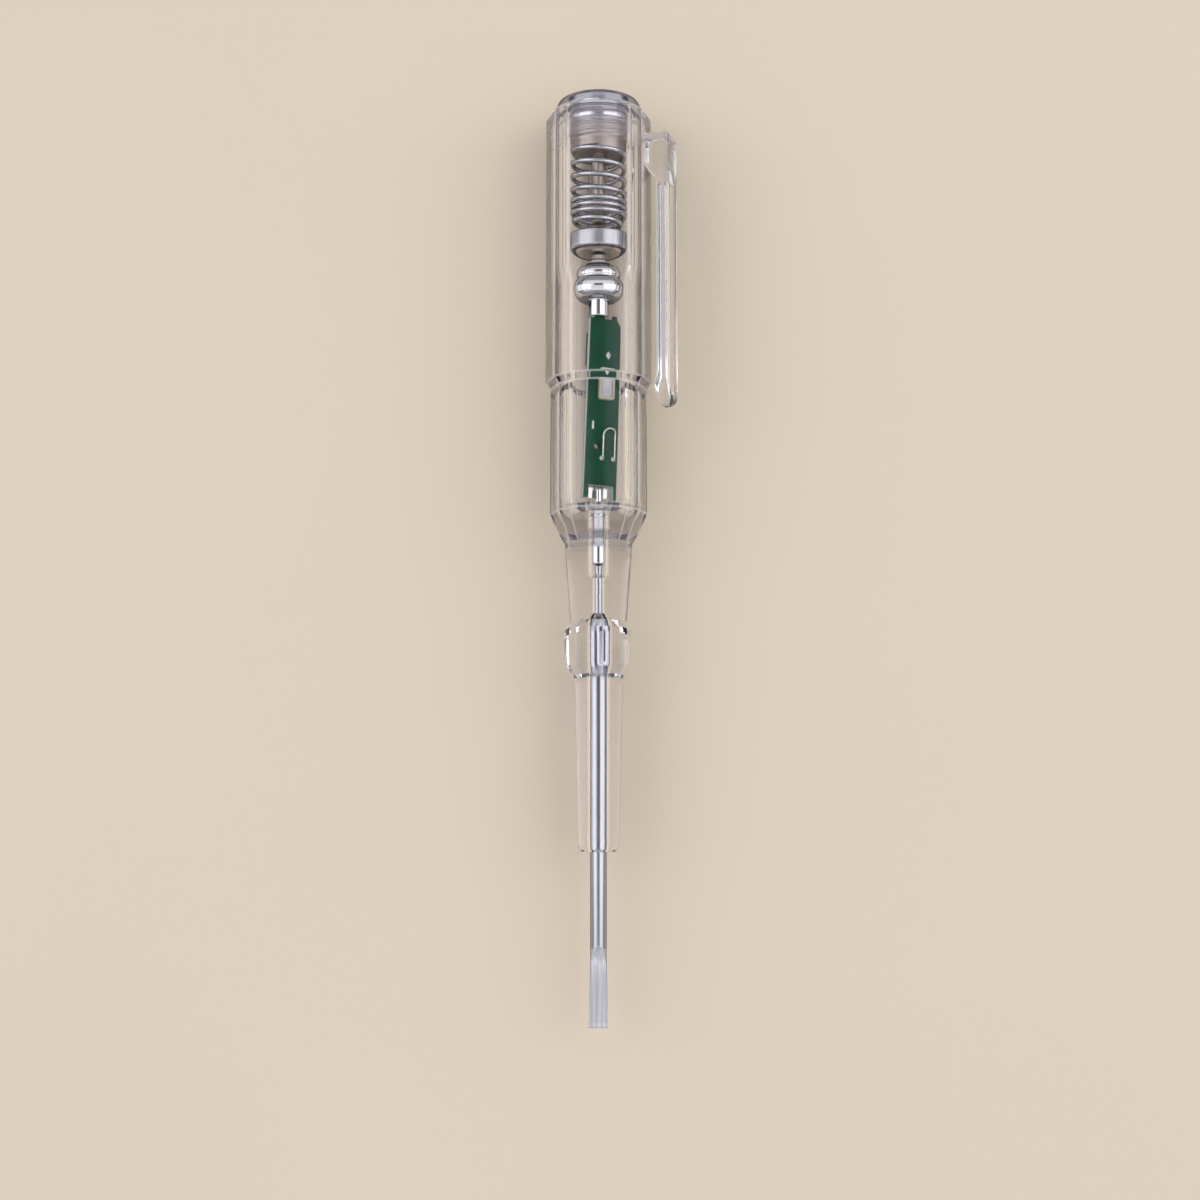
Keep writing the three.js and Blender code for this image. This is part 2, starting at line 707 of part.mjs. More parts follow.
// Circuit board with a tongue at the rear, a notch at the front and a lead hole
const boardTurn = new THREE.Matrix4().makeRotationZ(THREE.MathUtils.degToRad(BOARD_TURN));
boardTurn.setPosition(BOARD_OFFSET, (BOARD_FRONT + BOARD_REAR) / 2, 0);
const boardFrame = boardRoll.clone().multiply(boardTurn);
const half = BOARD_WIDTH / 2;
const boardLow = -BOARD_LENGTH / 2;
const boardHigh = BOARD_LENGTH / 2;
const rearLean = boardHigh * Math.tan(THREE.MathUtils.degToRad(-BOARD_TURN));
const tongueMiddle = -(BOARD_OFFSET + rearLean);
const notchLeft = NOTCH_OFFSET - NOTCH_WIDTH / 2;
const notchRight = NOTCH_OFFSET + NOTCH_WIDTH / 2;
const boardOutline = [
  [-half, boardLow],
  [notchLeft, boardLow],
  [notchLeft, boardLow + NOTCH_LENGTH],
  [notchRight, boardLow + NOTCH_LENGTH],
  [notchRight, boardLow - 0.6],
  [half, boardLow - 0.6],
  [half, boardHigh - 1.3],
  [half - 1.0, boardHigh],
  [tongueMiddle + TONGUE_WIDTH / 2, boardHigh],
  [tongueMiddle + TONGUE_WIDTH / 2, boardHigh + TONGUE_LENGTH],
  [tongueMiddle - TONGUE_WIDTH / 2, boardHigh + TONGUE_LENGTH],
  [tongueMiddle - TONGUE_WIDTH / 2, boardHigh],
  [-half, boardHigh],
];
const leadHole = new THREE.Path();
leadHole.absarc(-1.1, boardLow + 10.9, BOARD_HOLE_DIAMETER / 2, 0, 2 * Math.PI, true);
const board = plate(boardOutline, -BOARD_TOP, BOARD_THICKNESS, [leadHole]);
add("circuit_board", placed(board, boardFrame), 0x12543a, 0.35, 0.0);

// Contact tab: bent sheet under the notch, its trough under the contact pin
const trough = PIN_RADIUS + FIT;
const tabLeft = -TAB_WIDTH / 2;
const tabRight = TAB_WIDTH / 2;
const tabOutline = [
  [tabLeft, -BOARD_TOP],
  [-trough - 0.1, -BOARD_TOP],
  [-trough + 0.4, -trough],
  [trough - 0.4, -trough],
  [trough + 0.1, -BOARD_TOP],
  [tabRight, -BOARD_TOP],
  [tabRight, -BOARD_TOP - TAB_SHEET],
  [trough + 0.22, -BOARD_TOP - TAB_SHEET],
  [trough - 0.28, -trough - TAB_SHEET],
  [-trough + 0.28, -trough - TAB_SHEET],
  [-trough - 0.22, -BOARD_TOP - TAB_SHEET],
  [tabLeft, -BOARD_TOP - TAB_SHEET],
];
const tabLength = NOTCH_LENGTH + 1.3;
const tabStand = new THREE.Matrix4().makeRotationX(Math.PI / 2);
tabStand.setPosition(0, boardLow + tabLength, 0);
const tab = placed(plate(tabOutline, 0, tabLength), tabStand);
add("contact_tab", placed(tab, boardFrame), 0xb9b2a8, 0.3, 1.0);

// Lamp: raised frame and the lens inside it
const lampLow = boardLow + LAMP_PLACE - LAMP_LENGTH / 2;
const lampLeft = LAMP_OFFSET - LAMP_WIDTH / 2;
const lampCase = block(lampLeft, lampLow, BOARD_TOP, LAMP_WIDTH, LAMP_LENGTH, LAMP_HEIGHT);
const lampWell = block(
  lampLeft + LAMP_WALL,
  lampLow + LAMP_WALL,
  BOARD_TOP - 1,
  LAMP_WIDTH - 2 * LAMP_WALL,
  LAMP_LENGTH - 2 * LAMP_WALL,
  LAMP_HEIGHT + 2,
);
add("lamp_frame", placed(lampCase.subtract(lampWell), boardFrame), 0xe9e2c6, 0.45, 0.0);
const lensInset = LAMP_WALL + FIT;
const lens = block(
  lampLeft + lensInset,
  lampLow + lensInset,
  BOARD_TOP,
  LAMP_WIDTH - 2 * lensInset,
  LAMP_LENGTH - 2 * lensInset,
  0.75 * LAMP_HEIGHT,
);
add("lamp_lens", placed(lens, boardFrame), 0xd6d8e0, 0.15, 0.0);

// Wire loop standing on two solder beads
const loopTop = BOARD_TOP + BEAD_HEIGHT + FIT;
const loopLow = boardLow + LOOP_PLACE;
const loopLine = [];
const loopSteps = 20;
for (let k = 0; k <= loopSteps; k += 1) {
  const angle = (Math.PI * k) / loopSteps;
  const rise = Math.sin(angle);
  const across = LOOP_OFFSET - (LOOP_WIDTH / 2) * Math.cos(angle);
  const height = loopTop + LOOP_WIRE + (LOOP_HEIGHT - LOOP_WIRE) * rise;
  loopLine.push(new THREE.Vector3(across, loopLow + LOOP_LENGTH * rise, height));
}
const loopStart = new THREE.Vector3(LOOP_OFFSET - LOOP_WIDTH / 2, loopLow, loopTop);
const loopStop = new THREE.Vector3(LOOP_OFFSET + LOOP_WIDTH / 2, loopLow, loopTop);
const loop = solidOf(tubeAlong([loopStart, ...loopLine, loopStop], LOOP_WIRE, 6));
add("wire_loop", placed(loop, boardFrame), 0xcfccc2, 0.3, 1.0);
const bead = turned(
  [
    [0, 0],
    [BEAD_DIAMETER / 2, 0],
    [0.43 * BEAD_DIAMETER, 0.5 * BEAD_HEIGHT],
    [0.25 * BEAD_DIAMETER, 0.9 * BEAD_HEIGHT],
    [0, BEAD_HEIGHT],
  ],
  14,
);
function onBoardFace(solid, across, along) {
  const stand = new THREE.Matrix4().makeRotationX(Math.PI / 2);
  stand.setPosition(across, along, BOARD_TOP);
  return placed(placed(solid, stand), boardFrame);
}
add("left_solder_bead", onBoardFace(bead, loopStart.x, loopLow), 0xd5d5d2, 0.3, 1.0);
add("right_solder_bead", onBoardFace(bead, loopStop.x, loopLow), 0xd5d5d2, 0.3, 1.0);

// Solder joint above the lamp and a short lead end below it
const joint = turned(
  [
    [0, 0],
    [JOINT_LENGTH / 2, 0],
    [0.3 * JOINT_LENGTH, 0.3],
    [0, 0.45],
  ],
  4,
);
const jointStretch = new THREE.Matrix4().makeScale(0.65, 1, 1);
add("solder_joint", onBoardFace(placed(joint, jointStretch), 0.6, boardLow + 29.6), 0xd8d8d6, 0.3, 1.0);
const leadPlace = boardLow + 15.0 - LEAD_LENGTH / 2;
const lead = block(-2.2 - LEAD_WIDTH / 2, leadPlace, BOARD_TOP, LEAD_WIDTH, LEAD_LENGTH, LEAD_WIDTH);
add("lead_end", placed(lead, boardFrame), 0xd8d8d6, 0.3, 1.0);

// Parts on the back of the board
const transistor = block(
  -half,
  boardHigh - 9.4,
  -BOARD_TOP - TRANSISTOR_HEIGHT,
  TRANSISTOR_WIDTH,
  TRANSISTOR_LENGTH,
  TRANSISTOR_HEIGHT,
);
add("amplifier_transistor", placed(transistor, boardFrame), 0x1a1a1c, 0.5, 0.0);
const driver = block(
  half - DRIVER_WIDTH - 0.15,
  boardHigh - 2.6,
  -BOARD_TOP - DRIVER_HEIGHT,
  DRIVER_WIDTH,
  DRIVER_LENGTH,
  DRIVER_HEIGHT,
);
add("lamp_driver", placed(driver, boardFrame), 0x1a1a1c, 0.5, 0.0);
const resistor = block(
  -RESISTOR_WIDTH / 2,
  boardLow + 7.3,
  -BOARD_TOP - RESISTOR_HEIGHT,
  RESISTOR_WIDTH,
  RESISTOR_LENGTH,
  RESISTOR_HEIGHT,
);
add("limiting_resistor", placed(resistor, boardFrame), 0x1d1d20, 0.45, 0.0);
const capacitor = block(
  -CAPACITOR_WIDTH / 2,
  boardLow + 15.8,
  -BOARD_TOP - CAPACITOR_HEIGHT,
  CAPACITOR_WIDTH,
  CAPACITOR_LENGTH,
  CAPACITOR_HEIGHT,
);
add("chip_capacitor", placed(capacitor, boardFrame), 0x9a7b58, 0.4, 0.0);

// Contact pin: slim pin over the tab, seating collar and the rod in the nose
const pin = turned(
  [
    [0, ROD_END],
    [ROD_RADIUS - 0.25, ROD_END],
    [ROD_RADIUS, ROD_END + 0.25],
    [ROD_RADIUS, PIN_COLLAR_FRONT],
    [PIN_COLLAR_DIAMETER / 2, PIN_COLLAR_FRONT],
    [PIN_COLLAR_DIAMETER / 2, PIN_COLLAR_REAR],
    [PIN_RADIUS, PIN_COLLAR_REAR],
    [PIN_RADIUS, PIN_END - 0.2],
    [PIN_RADIUS - 0.2, PIN_END],
    [0, PIN_END],
  ],
  28,
);
add("contact_pin", pin, 0xc0c3cb, 0.2, 1.0);

// Blade: flat tip growing into a round shaft, domed shoulder and thin tail
function bladeRing(station, halfWidth, halfThickness, square) {
  const ring = [];
  for (let k = 0; k < 24; k += 1) {
    const angle = (2 * Math.PI * (k + 0.5)) / 24;
    const c = Math.cos(angle);
    const s = Math.sin(angle);
    const x = halfWidth * Math.sign(c) * Math.abs(c) ** square;
    const z = halfThickness * Math.sign(s) * Math.abs(s) ** square;
    ring.push(new THREE.Vector3(x, station, z));
  }
  return ring;
}
const bladeRings = [];
const flatSteps = 8;
for (let k = 0; k <= flatSteps; k += 1) {
  const share = k / flatSteps;
  const ease = share * share * (3 - 2 * share);
  const halfWidth = (TIP_WIDTH / 2) * (1 - ease) + SHAFT_RADIUS * ease;
  const halfThickness = (TIP_THICKNESS / 2) * (1 - share) + SHAFT_RADIUS * share;
  bladeRings.push(bladeRing(FLAT_LENGTH * share, halfWidth, halfThickness, 0.3 + 0.7 * ease));
}
[
  [SHOULDER - 1.6, SHAFT_RADIUS],
  [SHOULDER - 0.9, 0.9 * SHAFT_RADIUS],
  [SHOULDER - 0.3, 0.7 * SHAFT_RADIUS],
  [SHOULDER, TAIL_RADIUS],
  [TAIL_END, TAIL_RADIUS],
].forEach(([station, radius]) => bladeRings.push(bladeRing(station, radius, radius, 1)));
add("blade", solidOf(lofted(bladeRings)), 0xc2c5cd, 0.2, 1.0);

export default group;
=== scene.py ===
"""Voltage tester screwdriver: the looks of every piece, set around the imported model.

Points are in millimetres as (across, station, up). The station runs along the tool from the
blade tip to the cap, and up is measured from the tool's axis.
"""
import math

import bmesh
import bpy
from mathutils import Matrix, Vector


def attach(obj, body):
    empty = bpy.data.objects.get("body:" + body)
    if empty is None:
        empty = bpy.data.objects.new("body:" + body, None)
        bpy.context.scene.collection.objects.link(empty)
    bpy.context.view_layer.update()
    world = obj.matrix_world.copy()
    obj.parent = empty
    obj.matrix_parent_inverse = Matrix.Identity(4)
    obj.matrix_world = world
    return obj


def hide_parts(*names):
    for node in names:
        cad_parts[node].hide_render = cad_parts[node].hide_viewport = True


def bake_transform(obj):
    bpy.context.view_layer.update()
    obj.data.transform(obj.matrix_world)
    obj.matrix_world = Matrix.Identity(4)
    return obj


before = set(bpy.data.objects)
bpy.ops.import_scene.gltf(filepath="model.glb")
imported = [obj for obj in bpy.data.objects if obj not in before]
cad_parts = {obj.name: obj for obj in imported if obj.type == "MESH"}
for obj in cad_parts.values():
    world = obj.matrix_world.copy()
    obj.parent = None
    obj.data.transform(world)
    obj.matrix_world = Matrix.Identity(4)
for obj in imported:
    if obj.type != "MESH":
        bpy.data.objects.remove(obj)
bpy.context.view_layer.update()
scene = bpy.context.scene


# Table, soft boxes and camera
# A plain pale table top in a room that is dim towards its foot and its ends, a soft box at each
# side with a dark card over the tool between them, and a camera that looks down from overhead.
AXIS_HEIGHT = 10.2714
REST_STATION = 155.0
TOOL = Matrix.Diagonal((0.001, 0.001, 0.001, 1))
TOOL = TOOL @ Matrix.Translation((0, -REST_STATION, AXIS_HEIGHT))


class Value:
    """A socket that adds, subtracts, multiplies and divides as a number does."""

    def __init__(self, nodes, socket):
        self.nodes = nodes
        self.socket = socket

    def worked(self, operation, first, second):
        return self.nodes.add("ShaderNodeMath", {"operation": operation}, {0: first, 1: second})

    def __add__(self, other):
        return self.worked("ADD", self, other)

    def __radd__(self, other):
        return self.worked("ADD", other, self)

    def __sub__(self, other):
        return self.worked("SUBTRACT", self, other)

    def __rsub__(self, other):
        return self.worked("SUBTRACT", other, self)

    def __mul__(self, other):
        return self.worked("MULTIPLY", self, other)

    def __rmul__(self, other):
        return self.worked("MULTIPLY", other, self)

    def __truediv__(self, other):
        return self.worked("DIVIDE", self, other)

    def __rtruediv__(self, other):
        return self.worked("DIVIDE", other, self)

    def power(self, exponent):
        return self.worked("POWER", self, exponent)

    def ramp(self, low, high):
        sockets = {"Value": self, "From Min": low, "From Max": high}
        return self.nodes.add("ShaderNodeMapRange", {"interpolation_type": "SMOOTHSTEP"}, sockets)


class Nodes:
    """Adds nodes to one tree, setting what they are first and feeding their sockets after."""

    def __init__(self, tree):
        self.tree = tree

    def feed(self, socket, value):
        if isinstance(value, Value):
            self.tree.links.new(value.socket, socket)
        else:
            socket.default_value = value

    def add(self, kind, settings=(), sockets=(), out=0):
        node = self.tree.nodes.new(kind)
        for name, value in dict(settings).items():
            setattr(node, name, value)
        for name, value in dict(sockets).items():
            self.feed(node.inputs[name], value)
        return Value(self, node.outputs[out]) if node.outputs else None


class Finish(Nodes):
    """One material on the tool's own coordinates, in metres from the rest face."""

    def __init__(self, name, **plain):
        self.material = bpy.data.materials.new(name)
        self.material.use_nodes = True
        super().__init__(self.material.node_tree)
        self.shader = self.tree.nodes["Principled BSDF"]
        for socket, value in plain.items():
            self.wear(socket.replace("_", " "), value)

    def wear(self, socket, value):
        self.feed(self.shader.inputs[socket], value)

    def place(self, stretch=(1, 1, 1)):
        spots = self.add("ShaderNodeTexCoord", out="Object")
        return self.add("ShaderNodeMapping", {}, {"Vector": spots, "Scale": stretch})

    def along(self, axis):
        return self.add("ShaderNodeSeparateXYZ", {}, {0: self.place()}, out=axis)

    def noise(self, scale, stretch=(1, 1, 1), detail=3.0, rough=0.55):
        sockets = {"Vector": self.place(stretch), "Scale": scale}
        sockets.update({"Detail": detail, "Roughness": rough})
        return self.add("ShaderNodeTexNoise", {}, sockets)

    def mixed(self, factor, first, second):
        sockets = {0: factor, 6: first, 7: second}
        return self.add("ShaderNodeMix", {"data_type": "RGBA"}, sockets, out=2)

    def bumped(self, height, depth, strength):
        sockets = {"Height": height, "Distance": depth, "Strength": strength}
        self.wear("Normal", self.add("ShaderNodeBump", {}, sockets))


def station(value):
    """Station along the tool as a length on the model's Y axis."""
    return (value - REST_STATION) / 1000


FLOOR_REACH = 9.0
floor_finish = Finish("table_top", Roughness=0.62)
floor_grain = floor_finish.noise(6.0, detail=2.0)
floor_tone = floor_finish.mixed(floor_grain, (0.86, 0.76, 0.60, 1), (0.83, 0.72, 0.56, 1))
floor_finish.wear("Base Color", floor_tone)
floor_mesh = bpy.data.meshes.new("table_top")
floor_corners = [(-FLOOR_REACH, -FLOOR_REACH, 0), (FLOOR_REACH, -FLOOR_REACH, 0)]
floor_corners += [(FLOOR_REACH, FLOOR_REACH, 0), (-FLOOR_REACH, FLOOR_REACH, 0)]
floor_mesh.from_pydata(floor_corners, [], [(0, 1, 2, 3)])
floor_mesh.materials.append(floor_finish.material)
floor = bpy.data.objects.new("table_top", floor_mesh)
scene.collection.objects.link(floor)

ROOM_BRIGHT, ROOM_DIM, ROOM_DARK = 1.0, 0.35, 0.14
ROOM_TONE, ROOM_FOOT_TONE = (0.98, 0.97, 1.0, 1), (0.36, 0.36, 0.44, 1)
ROOM_FOOT, ROOM_ENDS = (0.22, 0.06), (0.25, 0.6)
CARD_OUTER, CARD_INNER = 0.34, 0.22
CARD_FRONT, CARD_REAR, CARD_FOOT = (-0.12, 0.0), (0.40, 0.35), (0.0, 0.2)
ROOM_LEAST = 0.0001
world = bpy.data.worlds.new("room")
world.use_nodes = True
scene.world = world
room = Nodes(world.node_tree)
room_light = world.node_tree.nodes["Background"]
room_way = room.add("ShaderNodeTexCoord", out="Generated")
room_x = room.add("ShaderNodeSeparateXYZ", {}, {0: room_way}, out="X")
room_y = room.add("ShaderNodeSeparateXYZ", {}, {0: room_way}, out="Y")
room_z = room.add("ShaderNodeSeparateXYZ", {}, {0: room_way}, out="Z")
room_round = room_x * room_x + room_z * room_z + ROOM_LEAST
room_lean = room_x / room_round.power(0.5)
room_card = room_lean.ramp(-CARD_OUTER, -CARD_INNER) * room_lean.ramp(CARD_OUTER, CARD_INNER)
room_card = room_card * room_y.ramp(*CARD_FRONT) * room_y.ramp(*CARD_REAR) * room_z.ramp(*CARD_FOOT)
room_foot = (room_z * room_z / room_round).ramp(*ROOM_FOOT)
room_ends = (room_y * room_y).ramp(*ROOM_ENDS)
room_tones = {0: room_foot, 6: ROOM_TONE, 7: ROOM_FOOT_TONE}
room_tone = room.add("ShaderNodeMix", {"data_type": "RGBA"}, room_tones, out=2)
room.feed(room_light.inputs["Color"], room_tone)
room_dimmed = 1.0 - (1.0 - room_ends) * (1.0 - room_foot)
room_strength = ROOM_BRIGHT - (ROOM_BRIGHT - ROOM_DIM) * room_dimmed
room.feed(room_light.inputs["Strength"], room_strength - (room_strength - ROOM_DARK) * room_card)

SOFT_BOX_WIDTH, SOFT_BOX_LENGTH, SOFT_BOX_WATTS = 0.45, 1.1, 1.5
SOFT_BOX_DISTANCE, SOFT_BOX_SHIFT = 0.95, 0.1
LIT_STATION, LIT_HEIGHT = 110, 0.01


def soft_box(name, lean):
    """Rectangular lamp over the tool, leaning by degrees from the vertical towards +X."""
    lamp = bpy.data.lights.new(name, "AREA")
    lamp.shape = "RECTANGLE"
    lamp.size = SOFT_BOX_WIDTH
    lamp.size_y = SOFT_BOX_LENGTH
    lamp.energy = SOFT_BOX_WATTS
    box = bpy.data.objects.new(name, lamp)
    scene.collection.objects.link(box)
    middle = Vector((0, station(LIT_STATION), LIT_HEIGHT))
    turn = math.radians(lean)
    way = Vector((math.sin(turn), SOFT_BOX_SHIFT, math.cos(turn)))
    box.location = middle + SOFT_BOX_DISTANCE * way
    box.rotation_euler = (middle - box.location).to_track_quat("-Z", "Y").to_euler()


soft_box("left_soft_box", -58)
soft_box("right_soft_box", 50)

CAMERA_SENSOR, CAMERA_LENS = 36, 54.42
CAMERA_AIM, CAMERA_RISE, CAMERA_DISTANCE = (0.3, 83.0, 0), math.radians(82), 0.360
camera = bpy.data.objects.new("camera", bpy.data.cameras.new("camera"))
scene.collection.objects.link(camera)
scene.camera = camera
camera.data.sensor_width = CAMERA_SENSOR
camera.data.lens = CAMERA_LENS
camera_target = TOOL @ Vector(CAMERA_AIM)
camera_way = Vector((0, -math.cos(CAMERA_RISE), math.sin(CAMERA_RISE)))
camera.location = camera_target + CAMERA_DISTANCE * camera_way
camera.rotation_euler = (camera_target - camera.location).to_track_quat("-Z", "Y").to_euler()
scene.view_settings.view_transform = "Standard"


# Handle
# One clear moulding: a grip with a smooth crown over the lamp and flats below it, a round nose,
# a collar with flats on its upper side and a long nozzle. It is bored from both ends.
CROWN_TURNS = [-36 + 2 * k for k in range(37)]
FLAT_TURNS = [54 + 36 * k for k in range(8)]
GRIP = [(6.5, 93.6), (6.98, 94.5), (7.77, 95.9), (9.72, 100.2), (9.72, 125.7)]
GRIP += [(10.8, 127.0), (10.8, 182.7), (10.0, 183.5)]
GRIP_EDGE, GRIP_EDGE_TURN = 0.25, 8
NOSE = [(0, 72.6), (4.6, 72.6), (5.1, 76.5), (5.6, 78.5), (6.77, 94.1), (6.77, 94.7), (0, 94.7)]
COLLAR = [(4.63, 67.5), (6.2, 69.6), (6.9, 70.6), (6.9, 76.7), (5.6, 78.5), (5.5, 78.7)]
COLLAR_EDGE, COLLAR_FRONT = 0.5, 67.5
COLLAR_FLATS = (-69.2, -17.8, 33.6, 85.1)
FLAT_REACH, FLAT_SLOPE, FLAT_LEAN, FLAT_SHARPNESS = 5.57, 0.059, 0.5, 10
COLLAR_COLUMNS = 120
COLLAR_ARRISES = (2, 19, 36, 88, 105)
NOZZLE = [(0, 33.5), (3.2, 33.5), (3.69, 33.85), (3.98, 34.5), (4.1, 35.5), (4.95, 68.6)]
NOZZLE += [(4.2, 71.3), (0, 71.3)]
BORES = [(0, 31.5), (1.72, 31.5), (1.72, 78.6), (0.85, 80.2), (0.85, 87.2), (1.1, 87.4)]
BORES += [(1.35, 87.8), (1.5, 88.5), (1.5, 100.8), (3.9, 100.8), (4.9, 101.6), (5.4, 103.4)]
BORES += [(5.4, 146.8), (6.1, 150.8), (6.1, 186.0), (0, 186.0)]


def around(radius, along, turns):
    """Points about the tool's axis at turns in radians from straight up."""
    return [(radius * math.sin(t), along, radius * math.cos(t)) for t in turns]


def turned(profile, sides=96, closed=False):
    """Skin turned about the tool's axis from (radius, station) pairs."""
    skin = bmesh.new()
    turns = [2 * math.pi * k / sides for k in range(sides)]
    rows = []
    for radius, along in profile:
        points = around(radius, along, turns) if radius else [(0, along, 0)]
        rows.append([skin.verts.new(p) for p in points])
    if closed:
        rows.append(rows[0])
    for lower, upper in zip(rows, rows[1:]):
        for k in range(sides):
            corners = [lower[k % len(lower)], lower[(k + 1) % len(lower)]]
            corners += [upper[(k + 1) % len(upper)], upper[k % len(upper)]]
            skin.faces.new(dict.fromkeys(corners))
    return skin


def lofted(rings, painted_highlight_columns=()):
    """Skin over rings of points, closed at both ends, with some columns in a second finish."""
    skin = bmesh.new()
    rows = [[skin.verts.new(p) for p in ring] for ring in rings]
    count = len(rows[0])
    for lower, upper in zip(rows, rows[1:]):
        for k in range(count):
            n = (k + 1) % count
            face = skin.faces.new((lower[k], lower[n], upper[n], upper[k]))
            face.material_index = int(k in painted_highlight_columns)
    skin.faces.new(rows[0])
    skin.faces.new(rows[-1])
    return skin


def eased(profile, radius, steps=4):
    """Rounds the corners of a line of (radius, station) pairs."""
    points = [Vector(p) for p in profile]
    line = [points[0]]
    for before, corner, after in zip(points, points[1:], points[2:]):
        to_before, to_after = before - corner, after - corner
        reach = min(radius, 0.45 * to_before.length, 0.45 * to_after.length)
        first = corner + reach * to_before.normalized()
        last = corner + reach * to_after.normalized()
        for k in range(steps + 1):
            share = k / steps
            line.append(first.lerp(corner, share).lerp(corner.lerp(last, share), share))
    line.append(points[-1])
    return [(p.x, p.y) for p in line]


def softened(skin, width, sharper, segments=3, finish=-1):
    """Rounds the edges that turn by more than an angle in degrees, in one of the finishes."""
    skin.normal_update()
    edges = [e for e in skin.edges if e.calc_face_angle(0) > math.radians(sharper)]
    rounding = {"offset": width, "segments": segments, "profile": 0.5, "material": finish}
    bmesh.ops.bevel(skin, geom=edges, affect="EDGES", clamp_overlap=True, **rounding)
    return skin


def piece(name, skin, *finishes):
    """Object from a skin in the tool's millimetres, with its faces outwards."""
    bmesh.ops.recalc_face_normals(skin, faces=skin.faces)
    skin.transform(TOOL)
    mesh = bpy.data.meshes.new(name)
    skin.to_mesh(mesh)
    skin.free()
    for finish in finishes:
        mesh.materials.append(finish.material)
    made = bpy.data.objects.new(name, mesh)
    scene.collection.objects.link(made)
    return made


def settled(made):
    """Turns an object's modifiers into its mesh."""
    graph = bpy.context.evaluated_depsgraph_get()
    mesh = bpy.data.meshes.new_from_object(made.evaluated_get(graph))
    made.modifiers.clear()
    made.data = mesh
    mesh.name = made.name


def machined(made, operation, tool_skin):
    """Joins a skin to an object, or cuts the object by it."""
    tool = piece("tool", tool_skin, clear, painted_highlight_edge)
    step = made.modifiers.new("step", "BOOLEAN")
    step.operation = operation
    step.object = tool
    step.solver = "EXACT"
    settled(made)
    bpy.data.objects.remove(tool)


def shaded(made, crease):
    """Smooth shading with creases, weighted so that flat faces stay flat."""
    made.data.polygons.foreach_set("use_smooth", [True] * len(made.data.polygons))
    made.data.set_sharp_from_angle(angle=math.radians(crease))
    even = made.modifiers.new("even", "WEIGHTED_NORMAL")
    even.keep_sharp = True
    settled(made)


def band(along, rise, fall):
    """Share that rises between two stations and falls between two others."""
    risen = along.ramp(station(rise[0]), station(rise[1]))
    return risen * along.ramp(station(fall[1]), station(fall[0]))


HAZE_AND_PAINTED_LIGHT_TONE = (0.86, 0.84, 0.92, 1)
BORE_END_INNER, BORE_END_OUTER = 0.0055, 0.0057


def clear_plastic(name, frost_and_painted_highlight):
    """Clear gloss moulding under a thin pale haze, thicker at its rear end and bore end, with pale
    painted light over the rings that render dark at the nose step and collar front.
    """
    plain = {"Transmission_Weight": 1.0, "IOR": 1.49, "Specular_Tint": (0.18, 0.17, 0.20, 1)}
    finish = Finish(name, **plain)
    flow = finish.noise(55.0, (1, 0.25, 1), detail=2.0)
    scuffs = finish.noise(900.0, (1, 0.2, 1), detail=4.0)
    tone = finish.mixed(flow, (0.985, 0.975, 0.985, 1), (0.97, 0.96, 0.98, 1))
    finish.wear("Base Color", tone)
    finish.wear("Roughness", 0.045 * scuffs.ramp(0.58, 0.72))
    finish.bumped(flow, 0.0006, 0.12)
    along = finish.along("Y")
    rim = along.ramp(station(175.6), station(176.6))
    # Pale bands at the nose step and the collar front are painted light over rings that render
    # dark.
    nose = band(along, (93.4, 94.0), (94.6, 95.8))
    collar = band(along, (67.2, 67.6), (68.2, 68.9))
    across, up = finish.along("X"), finish.along("Z") - AXIS_HEIGHT / 1000
    bore_end = (across * across + up * up).ramp(BORE_END_OUTER ** 2, BORE_END_INNER ** 2)
    bore_end = bore_end * band(along, (100.2, 100.6), (102.2, 103.4))
    haze_and_painted_light = 0.10 * rim + 0.16 * nose + 0.12 * collar + 0.10 * bore_end + frost_and_painted_highlight
    matt = {"Base Color": HAZE_AND_PAINTED_LIGHT_TONE, "Roughness": 0.5}
    pale = finish.add("ShaderNodeBsdfPrincipled", {}, matt)
    both = {0: haze_and_painted_light, 1: Value(finish, finish.shader.outputs[0]), 2: pale}
    ending = finish.tree.nodes["Material Output"].inputs["Surface"]
    finish.feed(ending, finish.add("ShaderNodeMixShader", {}, both))
    return finish


clear = clear_plastic("clear_plastic", 0.006)
# This second finish lays a thick pale veil over the clear plastic. On the rounded arrises of the
# grip, collar and clip it is a painted highlight.
painted_highlight_edge = clear_plastic("painted_highlight_edge", 0.34)

grip_turns = [math.radians(t) for t in CROWN_TURNS + FLAT_TURNS]
grip_rings = [around(radius, along, grip_turns) for radius, along in GRIP]
# The grip's rounded edges take the second finish, a painted highlight.
grip_skin = softened(lofted(grip_rings), GRIP_EDGE, GRIP_EDGE_TURN, finish=1)
handle = piece("clear_handle", grip_skin, clear, painted_highlight_edge)
collar_turns = [math.radians(360 / COLLAR_COLUMNS * k) for k in range(COLLAR_COLUMNS)]
collar_rings = []
for radius, along in eased(COLLAR, COLLAR_EDGE):
    flat = FLAT_REACH + FLAT_SLOPE * (along - COLLAR_FRONT)
    collar_ring = []
    for turn in collar_turns:
        leans = [math.cos(turn - math.radians(facing)) for facing in COLLAR_FLATS]
        limits = [radius] + [flat / lean for lean in leans if lean > FLAT_LEAN]
        closeness = sum(math.exp(-FLAT_SHARPNESS * limit) for limit in limits)
        collar_ring += around(-math.log(closeness) / FLAT_SHARPNESS, along, [turn])
    collar_rings.append(collar_ring)
machined(handle, "UNION", turned(NOSE))
machined(handle, "UNION", lofted(collar_rings, COLLAR_ARRISES))
machined(handle, "UNION", turned(NOZZLE))
machined(handle, "DIFFERENCE", turned(BORES))
shaded(handle, 25)
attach(handle, "handle")
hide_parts("handle")


